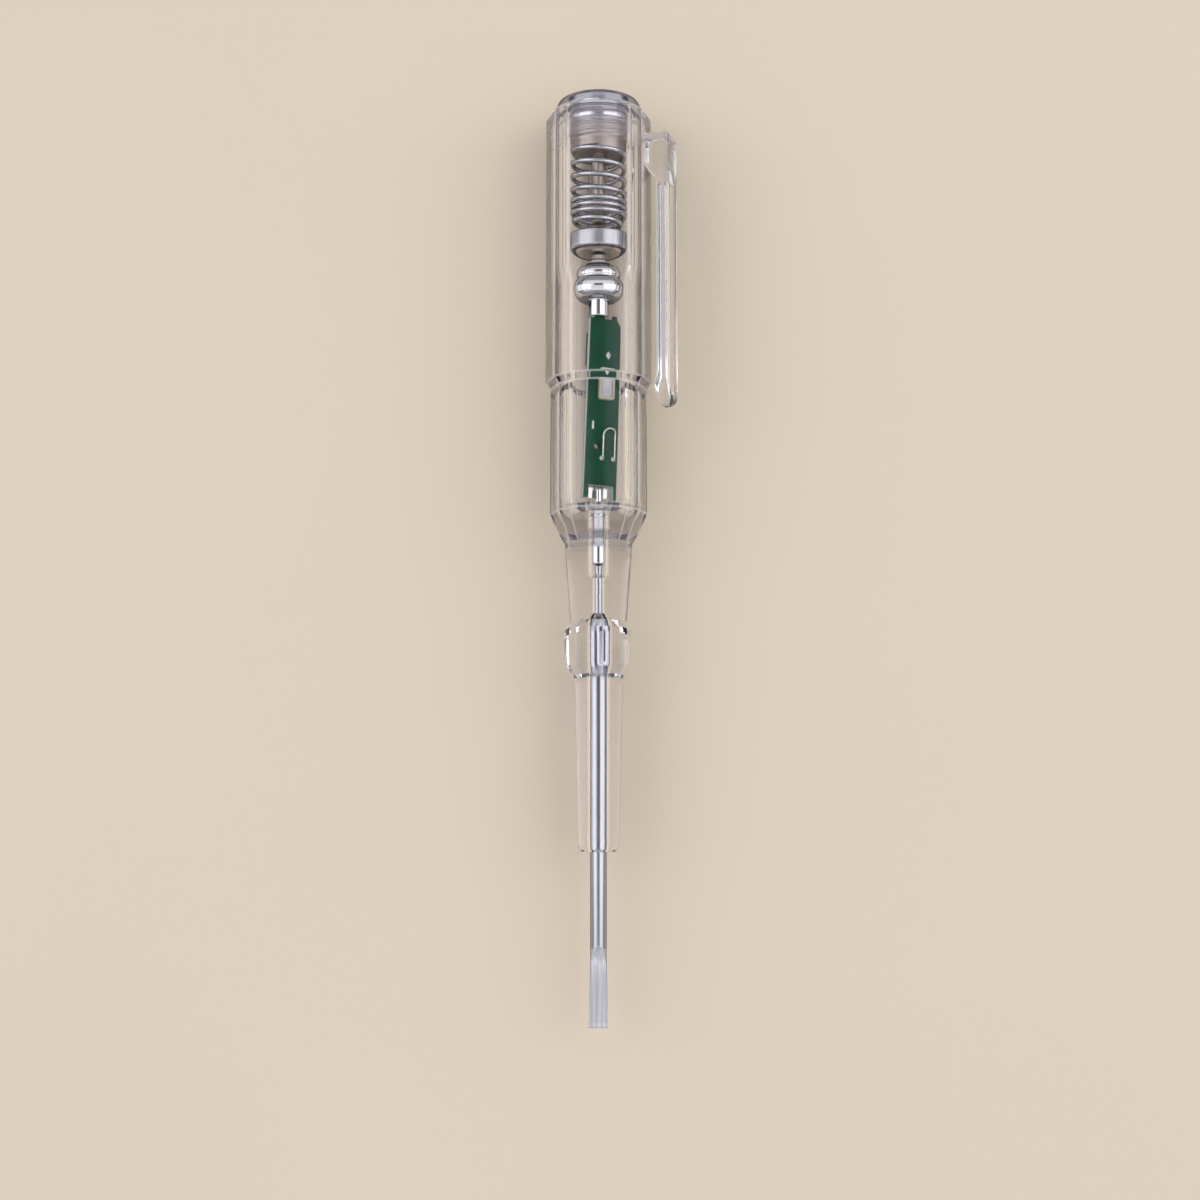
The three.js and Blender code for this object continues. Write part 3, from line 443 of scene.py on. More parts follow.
# Pocket clip
# Clear strip on the right side, moulded like the handle: a foot at the rear carries it off the
# flat, its free end is round, and a low ridge near that end grips the pocket.
CLIP_SIDE = math.radians(72)
CLIP_OUT = Vector((math.sin(CLIP_SIDE), 0, math.cos(CLIP_SIDE)))
CLIP_ACROSS = Vector((0, 1, 0)).cross(CLIP_OUT)
CLIP_REAR, CLIP_FRONT = 177.4, 121.1
CLIP_FOOT, CLIP_FILLET = 6.2, 3.6
CLIP_HALF_WIDTH, CLIP_CORNER, CLIP_EDGE = 3.7, 1.05, 0.45
CLIP_SEAT, CLIP_INNER, CLIP_OUTER = 10.36, 12.87, 15.83
CLIP_TIP_DROP, CLIP_TIP_LENGTH = 1.35, 2.4
RIDGE_PLACE, RIDGE_REACH, RIDGE_HEIGHT = 3.9, 2.2, 0.6
CLIP_ARRISES = (2, 8, 14, 20)


def rounded_outline(half_width, low, high, corner, steps=5):
    """Corners of an upright rectangle with rounded corners, as (across, up) pairs."""
    corner = min(corner, 0.48 * (high - low), 0.48 * 2 * half_width)
    middles = [(half_width - corner, high - corner, 0), (corner - half_width, high - corner, 90)]
    middles += [(corner - half_width, low + corner, 180), (half_width - corner, low + corner, 270)]
    outline = []
    for x, y, begin in middles:
        for k in range(steps + 1):
            angle = math.radians(begin + 90 * k / steps)
            outline.append((x + corner * math.cos(angle), y + corner * math.sin(angle)))
    return outline


def edge_drop(depth, from_edge, length):
    """Drop of a rounded edge at a distance from where the piece ends."""
    share = 1 - min(from_edge / length, 1)
    return depth * (1 - math.sqrt(max(0.0, 1 - share ** 2)))


def clip_ring(along):
    """Section of the clip at one station."""
    from_end = along - CLIP_FRONT
    reach = min(from_end, CLIP_HALF_WIDTH)
    half_width = math.sqrt(max(CLIP_HALF_WIDTH ** 2 - (CLIP_HALF_WIDTH - reach) ** 2, 0.01))
    foot = max(0.0, min(1.0, (along - (CLIP_REAR - CLIP_FOOT) + CLIP_FILLET) / CLIP_FILLET))
    ridge = max(0.0, 1 - ((from_end - RIDGE_PLACE) / RIDGE_REACH) ** 2) * RIDGE_HEIGHT
    low = CLIP_INNER - ridge + (CLIP_SEAT - CLIP_INNER) * foot
    drawn_in = edge_drop(CLIP_EDGE, min(from_end, CLIP_REAR - along), CLIP_EDGE)
    thinned = max(drawn_in, edge_drop(CLIP_TIP_DROP, from_end, CLIP_TIP_LENGTH))
    low = low + thinned * (1 - foot)
    outline = rounded_outline(half_width - drawn_in, low, CLIP_OUTER - thinned, CLIP_CORNER)
    return [CLIP_ACROSS * v + CLIP_OUT * w + Vector((0, along, 0)) for v, w in outline]


CLIP_FILLET_STEPS = 12
fillet_front = CLIP_REAR - CLIP_FOOT - CLIP_FILLET
clip_stations = [CLIP_FRONT + d for d in (0.01, 0.05, 0.12, 0.25, 0.45, 0.7, 1.0, 1.4, 1.9, 2.3)]
clip_stations += [CLIP_FRONT + CLIP_TIP_LENGTH + 0.25 * k for k in range(14)]
clip_stations += [128 + 4 * k for k in range(10)]
fillet_steps = range(CLIP_FILLET_STEPS + 1)
clip_stations += [fillet_front + CLIP_FILLET * k / CLIP_FILLET_STEPS for k in fillet_steps]
clip_stations += [CLIP_REAR - d for d in (5.0, 3.0, 1.0, 0.45, 0.3, 0.18, 0.08, 0.02)]
clip_rings = [clip_ring(s) for s in sorted(clip_stations)]
clip = piece("clear_clip", lofted(clip_rings, CLIP_ARRISES), clear, painted_highlight_edge)
shaded(clip, 40)
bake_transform(clip)
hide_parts("pocket_clip")


# End cap
# Grey plated metal turned from bar: domed flange for the finger, plain shank, two thin ridges,
# a thread that screws into the handle and a stem that runs down inside the spring.
CAP = [(0, 160.0), (1.07, 160.0), (1.42, 160.5), (1.42, 176.5), (5.3, 176.5), (5.8, 177.0)]
CAP += [(5.8, 179.9), (5.55, 180.05), (5.55, 180.2), (6.15, 180.28), (6.15, 180.46)]
CAP += [(5.75, 180.52), (5.75, 180.6), (6.15, 180.68), (6.15, 180.86), (5.75, 180.95)]
CAP += [(5.75, 182.45), (5.45, 182.55), (5.45, 182.7), (5.85, 182.8), (5.85, 183.8)]
CAP += [(8.17, 183.8), (8.6, 184.1), (8.6, 185.3), (8.25, 185.95), (7.57, 186.3), (0, 186.3)]
CAP_EDGE = 0.16
THREAD_PITCH, THREAD_ROOT, THREAD_CREST = 1.25, 5.65, 5.98
THREAD_FIRST, THREAD_LAST, THREAD_FADE = 176.7, 180.1, 0.35
THREAD_FLANKS = [(0.0, 0.0), (0.22, 0.0), (0.5, 1.0), (0.72, 1.0)]
EDGE_TINT = (0.16, 0.17, 0.22, 1)
cap_finish = Finish("cap_metal", Metallic=1.0, Specular_Tint=EDGE_TINT)
cap_along = cap_finish.along("Y")
cap_band = cap_along.ramp(station(180.2), station(179.8))
cap_plug = cap_along.ramp(station(183.6), station(183.3))
cap_marks = cap_finish.noise(1.0, (60, 5200, 60), detail=2.0)
cap_stains = cap_finish.noise(260.0, detail=4.0)
cap_flange = cap_finish.mixed(cap_stains, (0.36, 0.36, 0.41, 1), (0.48, 0.48, 0.53, 1))
# The plug inside the handle is painted far brighter than the flange of the same turned metal:
# painted light.
cap_bright = cap_finish.mixed(cap_stains, (0.80, 0.79, 0.82, 1), (0.92, 0.91, 0.94, 1))
cap_plain = cap_finish.mixed(cap_plug, cap_flange, cap_bright)
cap_finish.wear("Base Color", cap_finish.mixed(cap_band, cap_plain, (0.60, 0.53, 0.48, 1)))
cap_finish.wear("Roughness", 0.12 + 0.10 * cap_marks + 0.20 * cap_band)
cap_finish.bumped(cap_marks, 0.00002, 0.5)


def threaded(sides=72):
    """Skin of a right-hand thread on its core, rising between its first and last stations."""
    first_turn = math.floor(THREAD_FIRST / THREAD_PITCH) - 2
    last_turn = math.ceil(THREAD_LAST / THREAD_PITCH)
    skin = bmesh.new()
    rows = []
    for turn in range(first_turn, last_turn + 1):
        for share, rise in THREAD_FLANKS:
            row = []
            for k in range(sides + 1):
                along = (turn + share + k / sides) * THREAD_PITCH
                from_ends = min(along - THREAD_FIRST, THREAD_LAST - along)
                grown = max(0.0, min(1.0, from_ends / THREAD_FADE))
                radius = THREAD_ROOT + (THREAD_CREST - THREAD_ROOT) * rise * grown
                row += around(radius, along, [2 * math.pi * k / sides])
            rows.append([skin.verts.new(p) for p in row])
    for lower, upper in zip(rows, rows[1:]):
        for k in range(sides):
            skin.faces.new((lower[k], lower[k + 1], upper[k + 1], upper[k]))
    bmesh.ops.remove_doubles(skin, verts=skin.verts, dist=1e-4)
    bmesh.ops.holes_fill(skin, edges=skin.edges, sides=0)
    return skin


cap_skin = turned(eased(CAP, CAP_EDGE))
cap_thread = bpy.data.meshes.new("cap_thread")
threaded().to_mesh(cap_thread)
cap_skin.from_mesh(cap_thread)
cap = piece("touch_cap", cap_skin, cap_finish)
shaded(cap, 30)
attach(cap, "cap")
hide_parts("end_cap")


# Battery spring
# Round steel wire wound in four open turns under the cap, three closed turns and a smaller last
# turn that stands on the cell.
SPRING_WIRE, SPRING_RADIUS = 1.0, 5.3
OPEN_TURNS, CLOSED_TURNS, FOOT_TURNS = 4.0, 3.0, 1.0
SPRING_TOP, CLOSED_TOP, CLOSED_PITCH = 175.7, 164.5, 1.25
FOOT_RADIUS, FOOT_DROP = 4.1, 1.9
SPRING_STEPS, SPRING_SIDES = 60, 16
spring_finish = Finish("spring_wire", Metallic=1.0, Specular_Tint=EDGE_TINT)
spring_drawn = spring_finish.noise(700.0, detail=3.0)
spring_tone = spring_finish.mixed(spring_drawn, (0.52, 0.52, 0.55, 1), (0.70, 0.70, 0.72, 1))
spring_finish.wear("Base Color", spring_tone)
spring_finish.wear("Roughness", 0.14 + 0.16 * spring_drawn)


def wire_tree(finish):
    """Tree that lays round wire along the edges of a mesh."""
    tree = bpy.data.node_groups.new("wire_along_path", "GeometryNodeTree")
    tree.interface.new_socket("Path", in_out="INPUT", socket_type="NodeSocketGeometry")
    tree.interface.new_socket("Thickness", in_out="INPUT", socket_type="NodeSocketFloat")
    tree.interface.new_socket("Sides", in_out="INPUT", socket_type="NodeSocketInt")
    tree.interface.new_socket("Wire", in_out="OUTPUT", socket_type="NodeSocketGeometry")
    nodes = Nodes(tree)
    path = nodes.add("NodeGroupInput", out="Path")
    thickness = nodes.add("NodeGroupInput", out="Thickness")
    sides = nodes.add("NodeGroupInput", out="Sides")
    line = nodes.add("GeometryNodeMeshToCurve", {}, {"Mesh": path})
    bar = {"Resolution": sides, "Radius": thickness * 0.5}
    section = nodes.add("GeometryNodeCurvePrimitiveCircle", {}, bar)
    sweep = {"Curve": line, "Profile Curve": section, "Fill Caps": True}
    tube = nodes.add("GeometryNodeCurveToMesh", {}, sweep)
    smooth = nodes.add("GeometryNodeSetShadeSmooth", {}, {"Geometry": tube})
    real = nodes.add("GeometryNodeRealizeInstances", {}, {"Geometry": smooth})
    dressing = {"Geometry": real, "Material": finish.material}
    dressed = nodes.add("GeometryNodeSetMaterial", {}, dressing)
    nodes.add("NodeGroupOutput", {}, {"Wire": dressed})
    return tree


def wire(name, points, thickness, sides, finish):
    """Round wire along points in the tool's millimetres."""
    mesh = bpy.data.meshes.new(name)
    spots = [TOOL @ Vector(p) for p in points]
    mesh.from_pydata(spots, [(k, k + 1) for k in range(len(spots) - 1)], [])
    made = bpy.data.objects.new(name, mesh)
    scene.collection.objects.link(made)
    tree = wire_tree(finish)
    laid = made.modifiers.new("wire", "NODES")
    laid.node_group = tree
    sizes = {"Thickness": thickness / 1000, "Sides": sides}
    for item in tree.interface.items_tree:
        if item.name in sizes:
            laid[item.identifier] = sizes[item.name]
    settled(made)
    return made


def spring_spot(turn):
    """Middle of the spring's wire after a number of turns from the top."""
    opened = min(turn, OPEN_TURNS)
    closed = min(max(turn - OPEN_TURNS, 0), CLOSED_TURNS)
    foot = max(turn - OPEN_TURNS - CLOSED_TURNS, 0)
    radius = SPRING_RADIUS + (FOOT_RADIUS - SPRING_RADIUS) * foot
    fall = (SPRING_TOP - CLOSED_TOP) * opened / OPEN_TURNS
    fall = fall + CLOSED_PITCH * closed + FOOT_DROP * foot
    angle = 2 * math.pi * (turn + 0.5)
    return (radius * math.sin(angle), SPRING_TOP - fall, radius * math.cos(angle))


spring_count = round((OPEN_TURNS + CLOSED_TURNS + FOOT_TURNS) * SPRING_STEPS)
spring_path = [spring_spot(k / SPRING_STEPS) for k in range(spring_count + 1)]
spring = wire("coil_spring", spring_path, SPRING_WIRE, SPRING_SIDES, spring_finish)
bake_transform(spring)
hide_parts("battery_spring")


# Button cell
# Drawn steel can with a brushed side, a dark sealing ring crimped into its open end, and the
# smaller cap that stands out of the ring.
CAN = [(0, 157.4), (5.5, 157.4), (5.8, 157.1), (5.8, 154.2), (5.55, 153.85), (5.4, 153.85)]
CAN += [(5.4, 156.6), (0, 156.6)]
GASKET = [(4.75, 153.8), (5.38, 153.8), (5.38, 156.3), (4.75, 156.3)]
LID = [(0, 153.5), (4.2, 153.5), (4.7, 154.0), (4.7, 156.3), (0, 156.3)]
CAN_EDGE, LID_EDGE = 0.15, 0.25
can_finish = Finish("cell_steel", Metallic=1.0, Specular_Tint=EDGE_TINT)
can_brush = can_finish.noise(1.0, (900, 15, 900), detail=3.0)
can_tone = can_finish.mixed(can_brush, (0.50, 0.51, 0.54, 1), (0.78, 0.78, 0.80, 1))
can_finish.wear("Base Color", can_tone)
can_finish.wear("Roughness", 0.18 + 0.22 * can_brush)
can_finish.bumped(can_brush, 0.00002, 0.5)
gasket_finish = Finish("gasket_black", Roughness=0.55)
gasket_grain = gasket_finish.noise(800.0)
gasket_tone = gasket_finish.mixed(gasket_grain, (0.012, 0.011, 0.011, 1), (0.03, 0.027, 0.026, 1))
gasket_finish.wear("Base Color", gasket_tone)
lid_finish = Finish("cell_cap_steel", Metallic=1.0)
lid_grain = lid_finish.noise(500.0)
lid_tone = lid_finish.mixed(lid_grain, (0.52, 0.46, 0.38, 1), (0.66, 0.60, 0.51, 1))
lid_finish.wear("Base Color", lid_tone)
lid_finish.wear("Roughness", 0.22 + 0.15 * lid_grain)

can = piece("cell_cup", turned(eased(CAN, CAN_EDGE)), can_finish)
shaded(can, 30)
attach(can, "handle")
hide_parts("cell_can")
gasket = piece("cell_ring", turned(GASKET, closed=True), gasket_finish)
shaded(gasket, 30)
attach(gasket, "handle")
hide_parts("cell_gasket")
lid = piece("cell_lid", turned(eased(LID, LID_EDGE)), lid_finish)
shaded(lid, 30)
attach(lid, "handle")
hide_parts("cell_cap")


# Bell contact
# Nickel-plated turning between cell and board: a pin under the cell, a step, a rounded ring, a
# bell below a shallow groove, and a rod that is slotted for the board's tongue.
BELL = [(0, 140.2), (1.77, 140.2), (1.97, 140.4), (1.97, 143.8), (4.18, 143.8), (4.84, 144.55)]
BELL += [(5.1, 145.7), (5.0, 146.6), (4.6, 147.5), (4.23, 148.0), (4.44, 148.5), (4.44, 149.3)]
BELL += [(3.98, 150.2), (2.65, 150.9), (2.35, 151.25), (2.35, 151.7)]
BELL += [(1.55, 151.8), (1.55, 153.2), (0, 153.2)]
BELL_EDGE = 0.3
BOARD_ROLL = Matrix.Rotation(math.radians(20), 4, "Y")
SLOT_HALF_WIDTH, SLOT_HALF_HEIGHT = 4, 0.85
SLOT_MOUTH, SLOT_DEPTH = 140.2, 3.3
nickel = Finish("nickel_plate", Metallic=1.0, Specular_Tint=EDGE_TINT)
nickel_marks = nickel.noise(1.0, (40, 4200, 40), detail=2.0)
nickel_tone = nickel.mixed(nickel_marks, (0.70, 0.70, 0.72, 1), (0.82, 0.82, 0.83, 1))
nickel.wear("Base Color", nickel_tone)
nickel.wear("Roughness", 0.07 + 0.10 * nickel_marks)
nickel.bumped(nickel_marks, 0.00001, 0.5)


def block(across, along, up, edge=0.0):
    """Block between pairs of limits, with rounded edges where an edge is given."""
    skin = bmesh.new()
    bmesh.ops.create_cube(skin, size=1.0)
    lows = Vector((across[0], along[0], up[0]))
    highs = Vector((across[1], along[1], up[1]))
    size = highs - lows
    skin.transform(Matrix.Translation((lows + highs) / 2) @ Matrix.Diagonal((*size, 1)))
    if edge:
        softened(skin, edge, 30)
    return skin


bell = piece("bell", turned(eased(BELL, BELL_EDGE)), nickel)
slot_across, slot_up = (-SLOT_HALF_WIDTH, SLOT_HALF_WIDTH), (-SLOT_HALF_HEIGHT, SLOT_HALF_HEIGHT)
bell_slot = block(slot_across, (SLOT_MOUTH - 2.2, SLOT_MOUTH + SLOT_DEPTH), slot_up)
bell_slot.transform(BOARD_ROLL)
machined(bell, "DIFFERENCE", bell_slot)
shaded(bell, 30)
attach(bell, "handle")
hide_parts("bell_contact")


# Circuit board
# Green glass-fibre strip with pale cut edges, a tongue in the bell's slot, a notch for the contact
# tab and one open lead hole. It lies rolled about the tool's axis, its right side lower.
BOARD_LENGTH, BOARD_HALF_WIDTH, BOARD_TOP, BOARD_EDGE = 37.1, 3.45, 0.75, 0.06
BOARD_MIDDLE, BOARD_TURN = (0.85, 121.35, 0), math.radians(-2.3)
BOARD = BOARD_ROLL @ Matrix.Translation(BOARD_MIDDLE) @ Matrix.Rotation(BOARD_TURN, 4, "Z")
BOARD = BOARD @ Matrix.Translation((0, -BOARD_LENGTH / 2, 0))
TONGUE_LEFT, TONGUE_RIGHT, TONGUE_END = -2.745, -0.445, 40.1
BOARD_OUTLINE = [(-BOARD_HALF_WIDTH, 0), (-2.5, 0), (-2.5, 2.9), (2.7, 2.9), (2.7, -0.6)]
BOARD_OUTLINE += [(BOARD_HALF_WIDTH, -0.6), (BOARD_HALF_WIDTH, 35.8), (2.45, BOARD_LENGTH)]
BOARD_OUTLINE += [(TONGUE_RIGHT, BOARD_LENGTH), (TONGUE_RIGHT, TONGUE_END)]
BOARD_OUTLINE += [(TONGUE_LEFT, TONGUE_END), (TONGUE_LEFT, BOARD_LENGTH)]
BOARD_OUTLINE += [(-BOARD_HALF_WIDTH, BOARD_LENGTH)]
LEAD_HOLE, LEAD_HOLE_RADIUS = (-1.1, 10.9, 0), 0.65
UPRIGHT = Matrix.Rotation(math.pi / 2, 4, "X")
board_finish = Finish("board_green", Specular_IOR_Level=0.12)
board_tone = board_finish.noise(350.0, detail=3.0)
board_weave = board_finish.noise(2600.0, (1, 0.4, 1), detail=2.0)
board_green = board_finish.mixed(board_tone, (0.002, 0.072, 0.026, 1), (0.005, 0.110, 0.046, 1))
board_finish.wear("Base Color", board_green)
board_finish.wear("Roughness", 0.5 + 0.15 * board_weave)
board_finish.bumped(board_weave, 0.00003, 0.4)
edge_finish = Finish("board_edge", Roughness=0.6)
edge_fibres = edge_finish.noise(1800.0, (1, 0.15, 1), detail=3.0)
edge_tone = edge_finish.mixed(edge_fibres, (0.42, 0.62, 0.52, 1), (0.80, 0.85, 0.78, 1))
edge_finish.wear("Base Color", edge_tone)

board_skin = bmesh.new()
board_lower = [board_skin.verts.new((x, y, -BOARD_TOP)) for x, y in BOARD_OUTLINE]
board_upper = [board_skin.verts.new((x, y, BOARD_TOP)) for x, y in BOARD_OUTLINE]
board_skin.faces.new(board_lower)
board_skin.faces.new(board_upper)
for k in range(len(BOARD_OUTLINE)):
    n = (k + 1) % len(BOARD_OUTLINE)
    side = board_skin.faces.new((board_lower[k], board_lower[n], board_upper[n], board_upper[k]))
    side.material_index = 1
softened(board_skin, BOARD_EDGE, 60, segments=2)
board_skin.transform(BOARD)
board = piece("green_board", board_skin, board_finish, edge_finish)
hole_line = [(0, -2), (LEAD_HOLE_RADIUS, -2), (LEAD_HOLE_RADIUS, 2), (0, 2)]
hole_skin = turned(hole_line, 40)
hole_skin.transform(BOARD @ Matrix.Translation(LEAD_HOLE) @ UPRIGHT)
machined(board, "DIFFERENCE", hole_skin)
shaded(board, 30)
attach(board, "handle")
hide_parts("circuit_board")


# Contact tab
# Springy nickel sheet bent into a trough under the contact pin. It is soldered below the notch in
# the board's front end.
TAB_LENGTH, TAB_SHEET, TAB_EDGE, TAB_ROUNDING = 4.2, 0.3, 0.08, 0.3
TAB_BEND = [(-2.0, -0.75), (-1.1, -0.75), (-0.6, -1.0), (0.6, -1.0), (1.1, -0.75), (2.0, -0.75)]
tab_finish = Finish("tab_plate", Metallic=1.0)
tab_grain = tab_finish.noise(900.0, detail=3.0)
tab_tone = tab_finish.mixed(tab_grain, (0.62, 0.60, 0.56, 1), (0.80, 0.79, 0.77, 1))
tab_finish.wear("Base Color", tab_tone)
tab_finish.wear("Roughness", 0.16 + 0.2 * tab_grain)
tab_top = eased(TAB_BEND, TAB_ROUNDING)
tab_bottom = [(x, z - TAB_SHEET) for x, z in reversed(tab_top)]
tab_stations = (0.0, TAB_EDGE, TAB_LENGTH - TAB_EDGE, TAB_LENGTH)
tab_rings = [[(x, y, z) for x, z in tab_top + tab_bottom] for y in tab_stations]
tab_skin = lofted(tab_rings)
tab_skin.transform(BOARD)
tab = piece("pin_tab", tab_skin, tab_finish)
shaded(tab, 35)
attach(tab, "handle")
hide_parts("contact_tab")


# Indicator lamp
# Surface lamp on the board: a cream moulded frame with rounded corners around a pale clear lens,
# with the chip's tan band under the rear end of the lens.
LAMP_MIDDLE = (0.25, 23.6)
LAMP_HALF_WIDTH, LAMP_HALF_LENGTH = 1.6, 3.2
LAMP_WALL, LAMP_HEIGHT = 0.42, 1.0
FRAME = [(0, 0.02, 0.5), (0, LAMP_HEIGHT - 0.15, 0.5), (0.05, LAMP_HEIGHT - 0.04, 0.5)]
FRAME += [(0.15, LAMP_HEIGHT, 0.45), (LAMP_WALL - 0.12, LAMP_HEIGHT, 0.4)]
FRAME += [(LAMP_WALL, LAMP_HEIGHT - 0.1, 0.35), (LAMP_WALL, 0.02, 0.35)]
LENS = [(0.46, 0.02, 0.32), (0.46, 0.6, 0.32), (0.52, 0.72, 0.32)]
LENS += [(0.7, 0.80, 0.3), (1.1, 0.84, 0.25)]
cream = Finish("lamp_cream", Roughness=0.42)
cream_tone = cream.mixed(cream.noise(900.0), (0.80, 0.74, 0.55, 1), (0.88, 0.84, 0.68, 1))
cream.wear("Base Color", cream_tone)
lens_finish = Finish("lamp_pale", Roughness=0.12, Coat_Weight=0.6)
lens_band = band(lens_finish.along("Y"), (127.4, 127.6), (128.5, 128.7))
lens_grain = lens_finish.noise(420.0)
lens_tone = lens_finish.mixed(lens_grain, (0.70, 0.69, 0.74, 1), (0.84, 0.84, 0.86, 1))
lens_finish.wear("Base Color", lens_finish.mixed(lens_band, lens_tone, (0.58, 0.42, 0.22, 1)))


def lamp_ring(inset, up, corner):
    """Ring of the lamp at a distance inside its outline and a height over the board."""
    half_length = LAMP_HALF_LENGTH - inset
    outline = rounded_outline(LAMP_HALF_WIDTH - inset, -half_length, half_length, corner)
    return [(LAMP_MIDDLE[0] + x, LAMP_MIDDLE[1] + y, BOARD_TOP + up) for x, y in outline]


frame_rings = [lamp_ring(*level) for level in FRAME]
frame_skin = lofted(frame_rings)
frame_ends = [f for f in frame_skin.faces if len(f.verts) > 4]
bmesh.ops.delete(frame_skin, geom=frame_ends, context="FACES")
frame_skin.verts.ensure_lookup_table()
ring_count = len(frame_rings[0])
last_ring = (len(frame_rings) - 1) * ring_count
for k in range(ring_count):
    n = (k + 1) % ring_count
    foot = (k, n, last_ring + n, last_ring + k)
    frame_skin.faces.new([frame_skin.verts[i] for i in foot])
frame_skin.transform(BOARD)
lamp_frame = piece("lamp_surround", frame_skin, cream)
shaded(lamp_frame, 40)
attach(lamp_frame, "handle")
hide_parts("lamp_frame")
lens_skin = lofted([lamp_ring(*level) for level in LENS])
lens_skin.transform(BOARD)
lens = piece("lamp_window", lens_skin, lens_finish)
shaded(lens, 40)
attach(lens, "handle")
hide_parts("lamp_lens")


# Wire loop and solder
# A loop of thin tinned wire stands on two solder beads; a diamond-shaped solder joint lies above
# the lamp and a cut lead end below it.
LOOP_WIRE, LOOP_SIDES, LOOP_STEPS = 0.36, 12, 36
LOOP_FEET, LOOP_FOOT, LOOP_REACH = (0.0, 2.5), 8.5, 6.0
LOOP_LEG_UP, LOOP_RISE = 0.5, 0.5
BEAD = {"length": 1.05, "width": 1.0, "height": 0.5, "sides": 32}
DIAMOND = {"length": 1.75, "width": 1.15, "height": 0.35, "sides": 4}
DOME_RISE = [(0.0, 1.0), (0.12, 0.97), (0.3, 0.86), (0.5, 0.6), (0.7, 0.3), (0.88, 0.1), (1.0, 0.0)]
LEAD_ACROSS, LEAD_ALONG, LEAD_EDGE = (-2.4, -2.0), (14.15, 15.85), 0.12
LEAD_UP = (BOARD_TOP + 0.02, BOARD_TOP + 0.4)
tinned = Finish("tinned_wire", Metallic=1.0)
tinned_grain = tinned.noise(900.0)
tinned_tone = tinned.mixed(tinned_grain, (0.70, 0.68, 0.62, 1), (0.86, 0.85, 0.82, 1))
tinned.wear("Base Color", tinned_tone)
tinned.wear("Roughness", 0.16 + 0.18 * tinned_grain)
solder = Finish("solder", Metallic=1.0)
solder_grain = solder.noise(1500.0, detail=4.0)
solder_tone = solder.mixed(solder_grain, (0.74, 0.74, 0.74, 1), (0.90, 0.90, 0.89, 1))
solder.wear("Base Color", solder_tone)
solder.wear("Roughness", 0.30 + 0.25 * solder_grain)
solder.bumped(solder_grain, 0.00006, 0.5)


def on_board(across, along, up):
    """Point over the board's face in the tool's millimetres."""
    return BOARD @ Vector((across, along, BOARD_TOP + up))


loop_middle = (LOOP_FEET[0] + LOOP_FEET[1]) / 2
loop_bend = (LOOP_FEET[1] - LOOP_FEET[0]) / 2
loop_foot = [(LOOP_FOOT - 0.05, 0.1), (LOOP_FOOT + 0.3, LOOP_LEG_UP)]
loop_path = [on_board(LOOP_FEET[0], along, up) for along, up in loop_foot]
for k in range(LOOP_STEPS + 1):
    bend = math.pi * k / LOOP_STEPS
    across = loop_middle - loop_bend * math.cos(bend)
    along = LOOP_FOOT + LOOP_REACH - loop_bend * (1 - math.sin(bend))
    loop_path.append(on_board(across, along, LOOP_LEG_UP + LOOP_RISE * math.sin(bend)))
loop_path += [on_board(LOOP_FEET[1], along, up) for along, up in reversed(loop_foot)]
loop = wire("tinned_loop", loop_path, LOOP_WIRE, LOOP_SIDES, tinned)
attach(loop, "handle")
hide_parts("wire_loop")


def dome(name, middle, length, width, height, sides):
    """Solder dome on the board, drawn up towards its middle."""
    skin = turned([(share / 2, level) for share, level in DOME_RISE] + [(0, 0)], sides)
    skin.transform(UPRIGHT)
    place = BOARD @ Matrix.Translation((*middle, BOARD_TOP))
    skin.transform(place @ Matrix.Diagonal((width, length, height, 1)))
    made = piece(name, skin, solder)
    shaded(made, 50)
    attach(made, "handle")
    return made


left_bead = dome("left_bead", (LOOP_FEET[0], LOOP_FOOT), **BEAD)
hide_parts("left_solder_bead")
right_bead = dome("right_bead", (LOOP_FEET[1], LOOP_FOOT), **BEAD)
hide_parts("right_solder_bead")
diamond = dome("diamond_joint", (0.6, 29.6), **DIAMOND)
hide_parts("solder_joint")
lead_skin = block(LEAD_ACROSS, LEAD_ALONG, LEAD_UP, LEAD_EDGE)
lead_skin.transform(BOARD)
lead = piece("cut_lead", lead_skin, solder)
shaded(lead, 40)
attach(lead, "handle")
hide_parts("lead_end")


# Parts under the board
# Black moulded transistor and lamp driver, a chip resistor and a tan ceramic capacitor, each with
# plated ends or legs, soldered to the board's back.
UNDER = -BOARD_TOP
CHIP_GAP, CHIP_EDGE = 0.03, 0.14
LEG_GAP, LEG_EDGE, LEG_SHARE = 0.01, 0.06, 0.6
black = Finish("chip_black", Roughness=0.5)
black_grain = black.noise(2400.0, detail=4.0)
black_tone = black.mixed(black_grain, (0.008, 0.008, 0.009, 1), (0.022, 0.022, 0.024, 1))
black.wear("Base Color", black_tone)
black.bumped(black_grain, 0.00003, 0.5)
tan = Finish("chip_tan", Roughness=0.38)
tan_tone = tan.mixed(tan.noise(1800.0), (0.30, 0.19, 0.10, 1), (0.38, 0.26, 0.15, 1))
tan.wear("Base Color", tan_tone)


def chip(name, across, along, height, finish, legs):
    """Moulded block under the board with plated legs or ends as (across, along) pairs of limits."""
    skin = block(across, along, (UNDER - height, UNDER - CHIP_GAP), CHIP_EDGE)
    for leg_across, leg_along in legs:
        leg_up = (UNDER - LEG_SHARE * height, UNDER - LEG_GAP)
        leg = block(leg_across, leg_along, leg_up, LEG_EDGE)
        for face in leg.faces:
            face.material_index = 1
        leg_mesh = bpy.data.meshes.new("leg")
        leg.to_mesh(leg_mesh)
        skin.from_mesh(leg_mesh)
    skin.transform(BOARD)
    made = piece(name, skin, finish, solder)
    shaded(made, 40)
    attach(made, "handle")
    return made


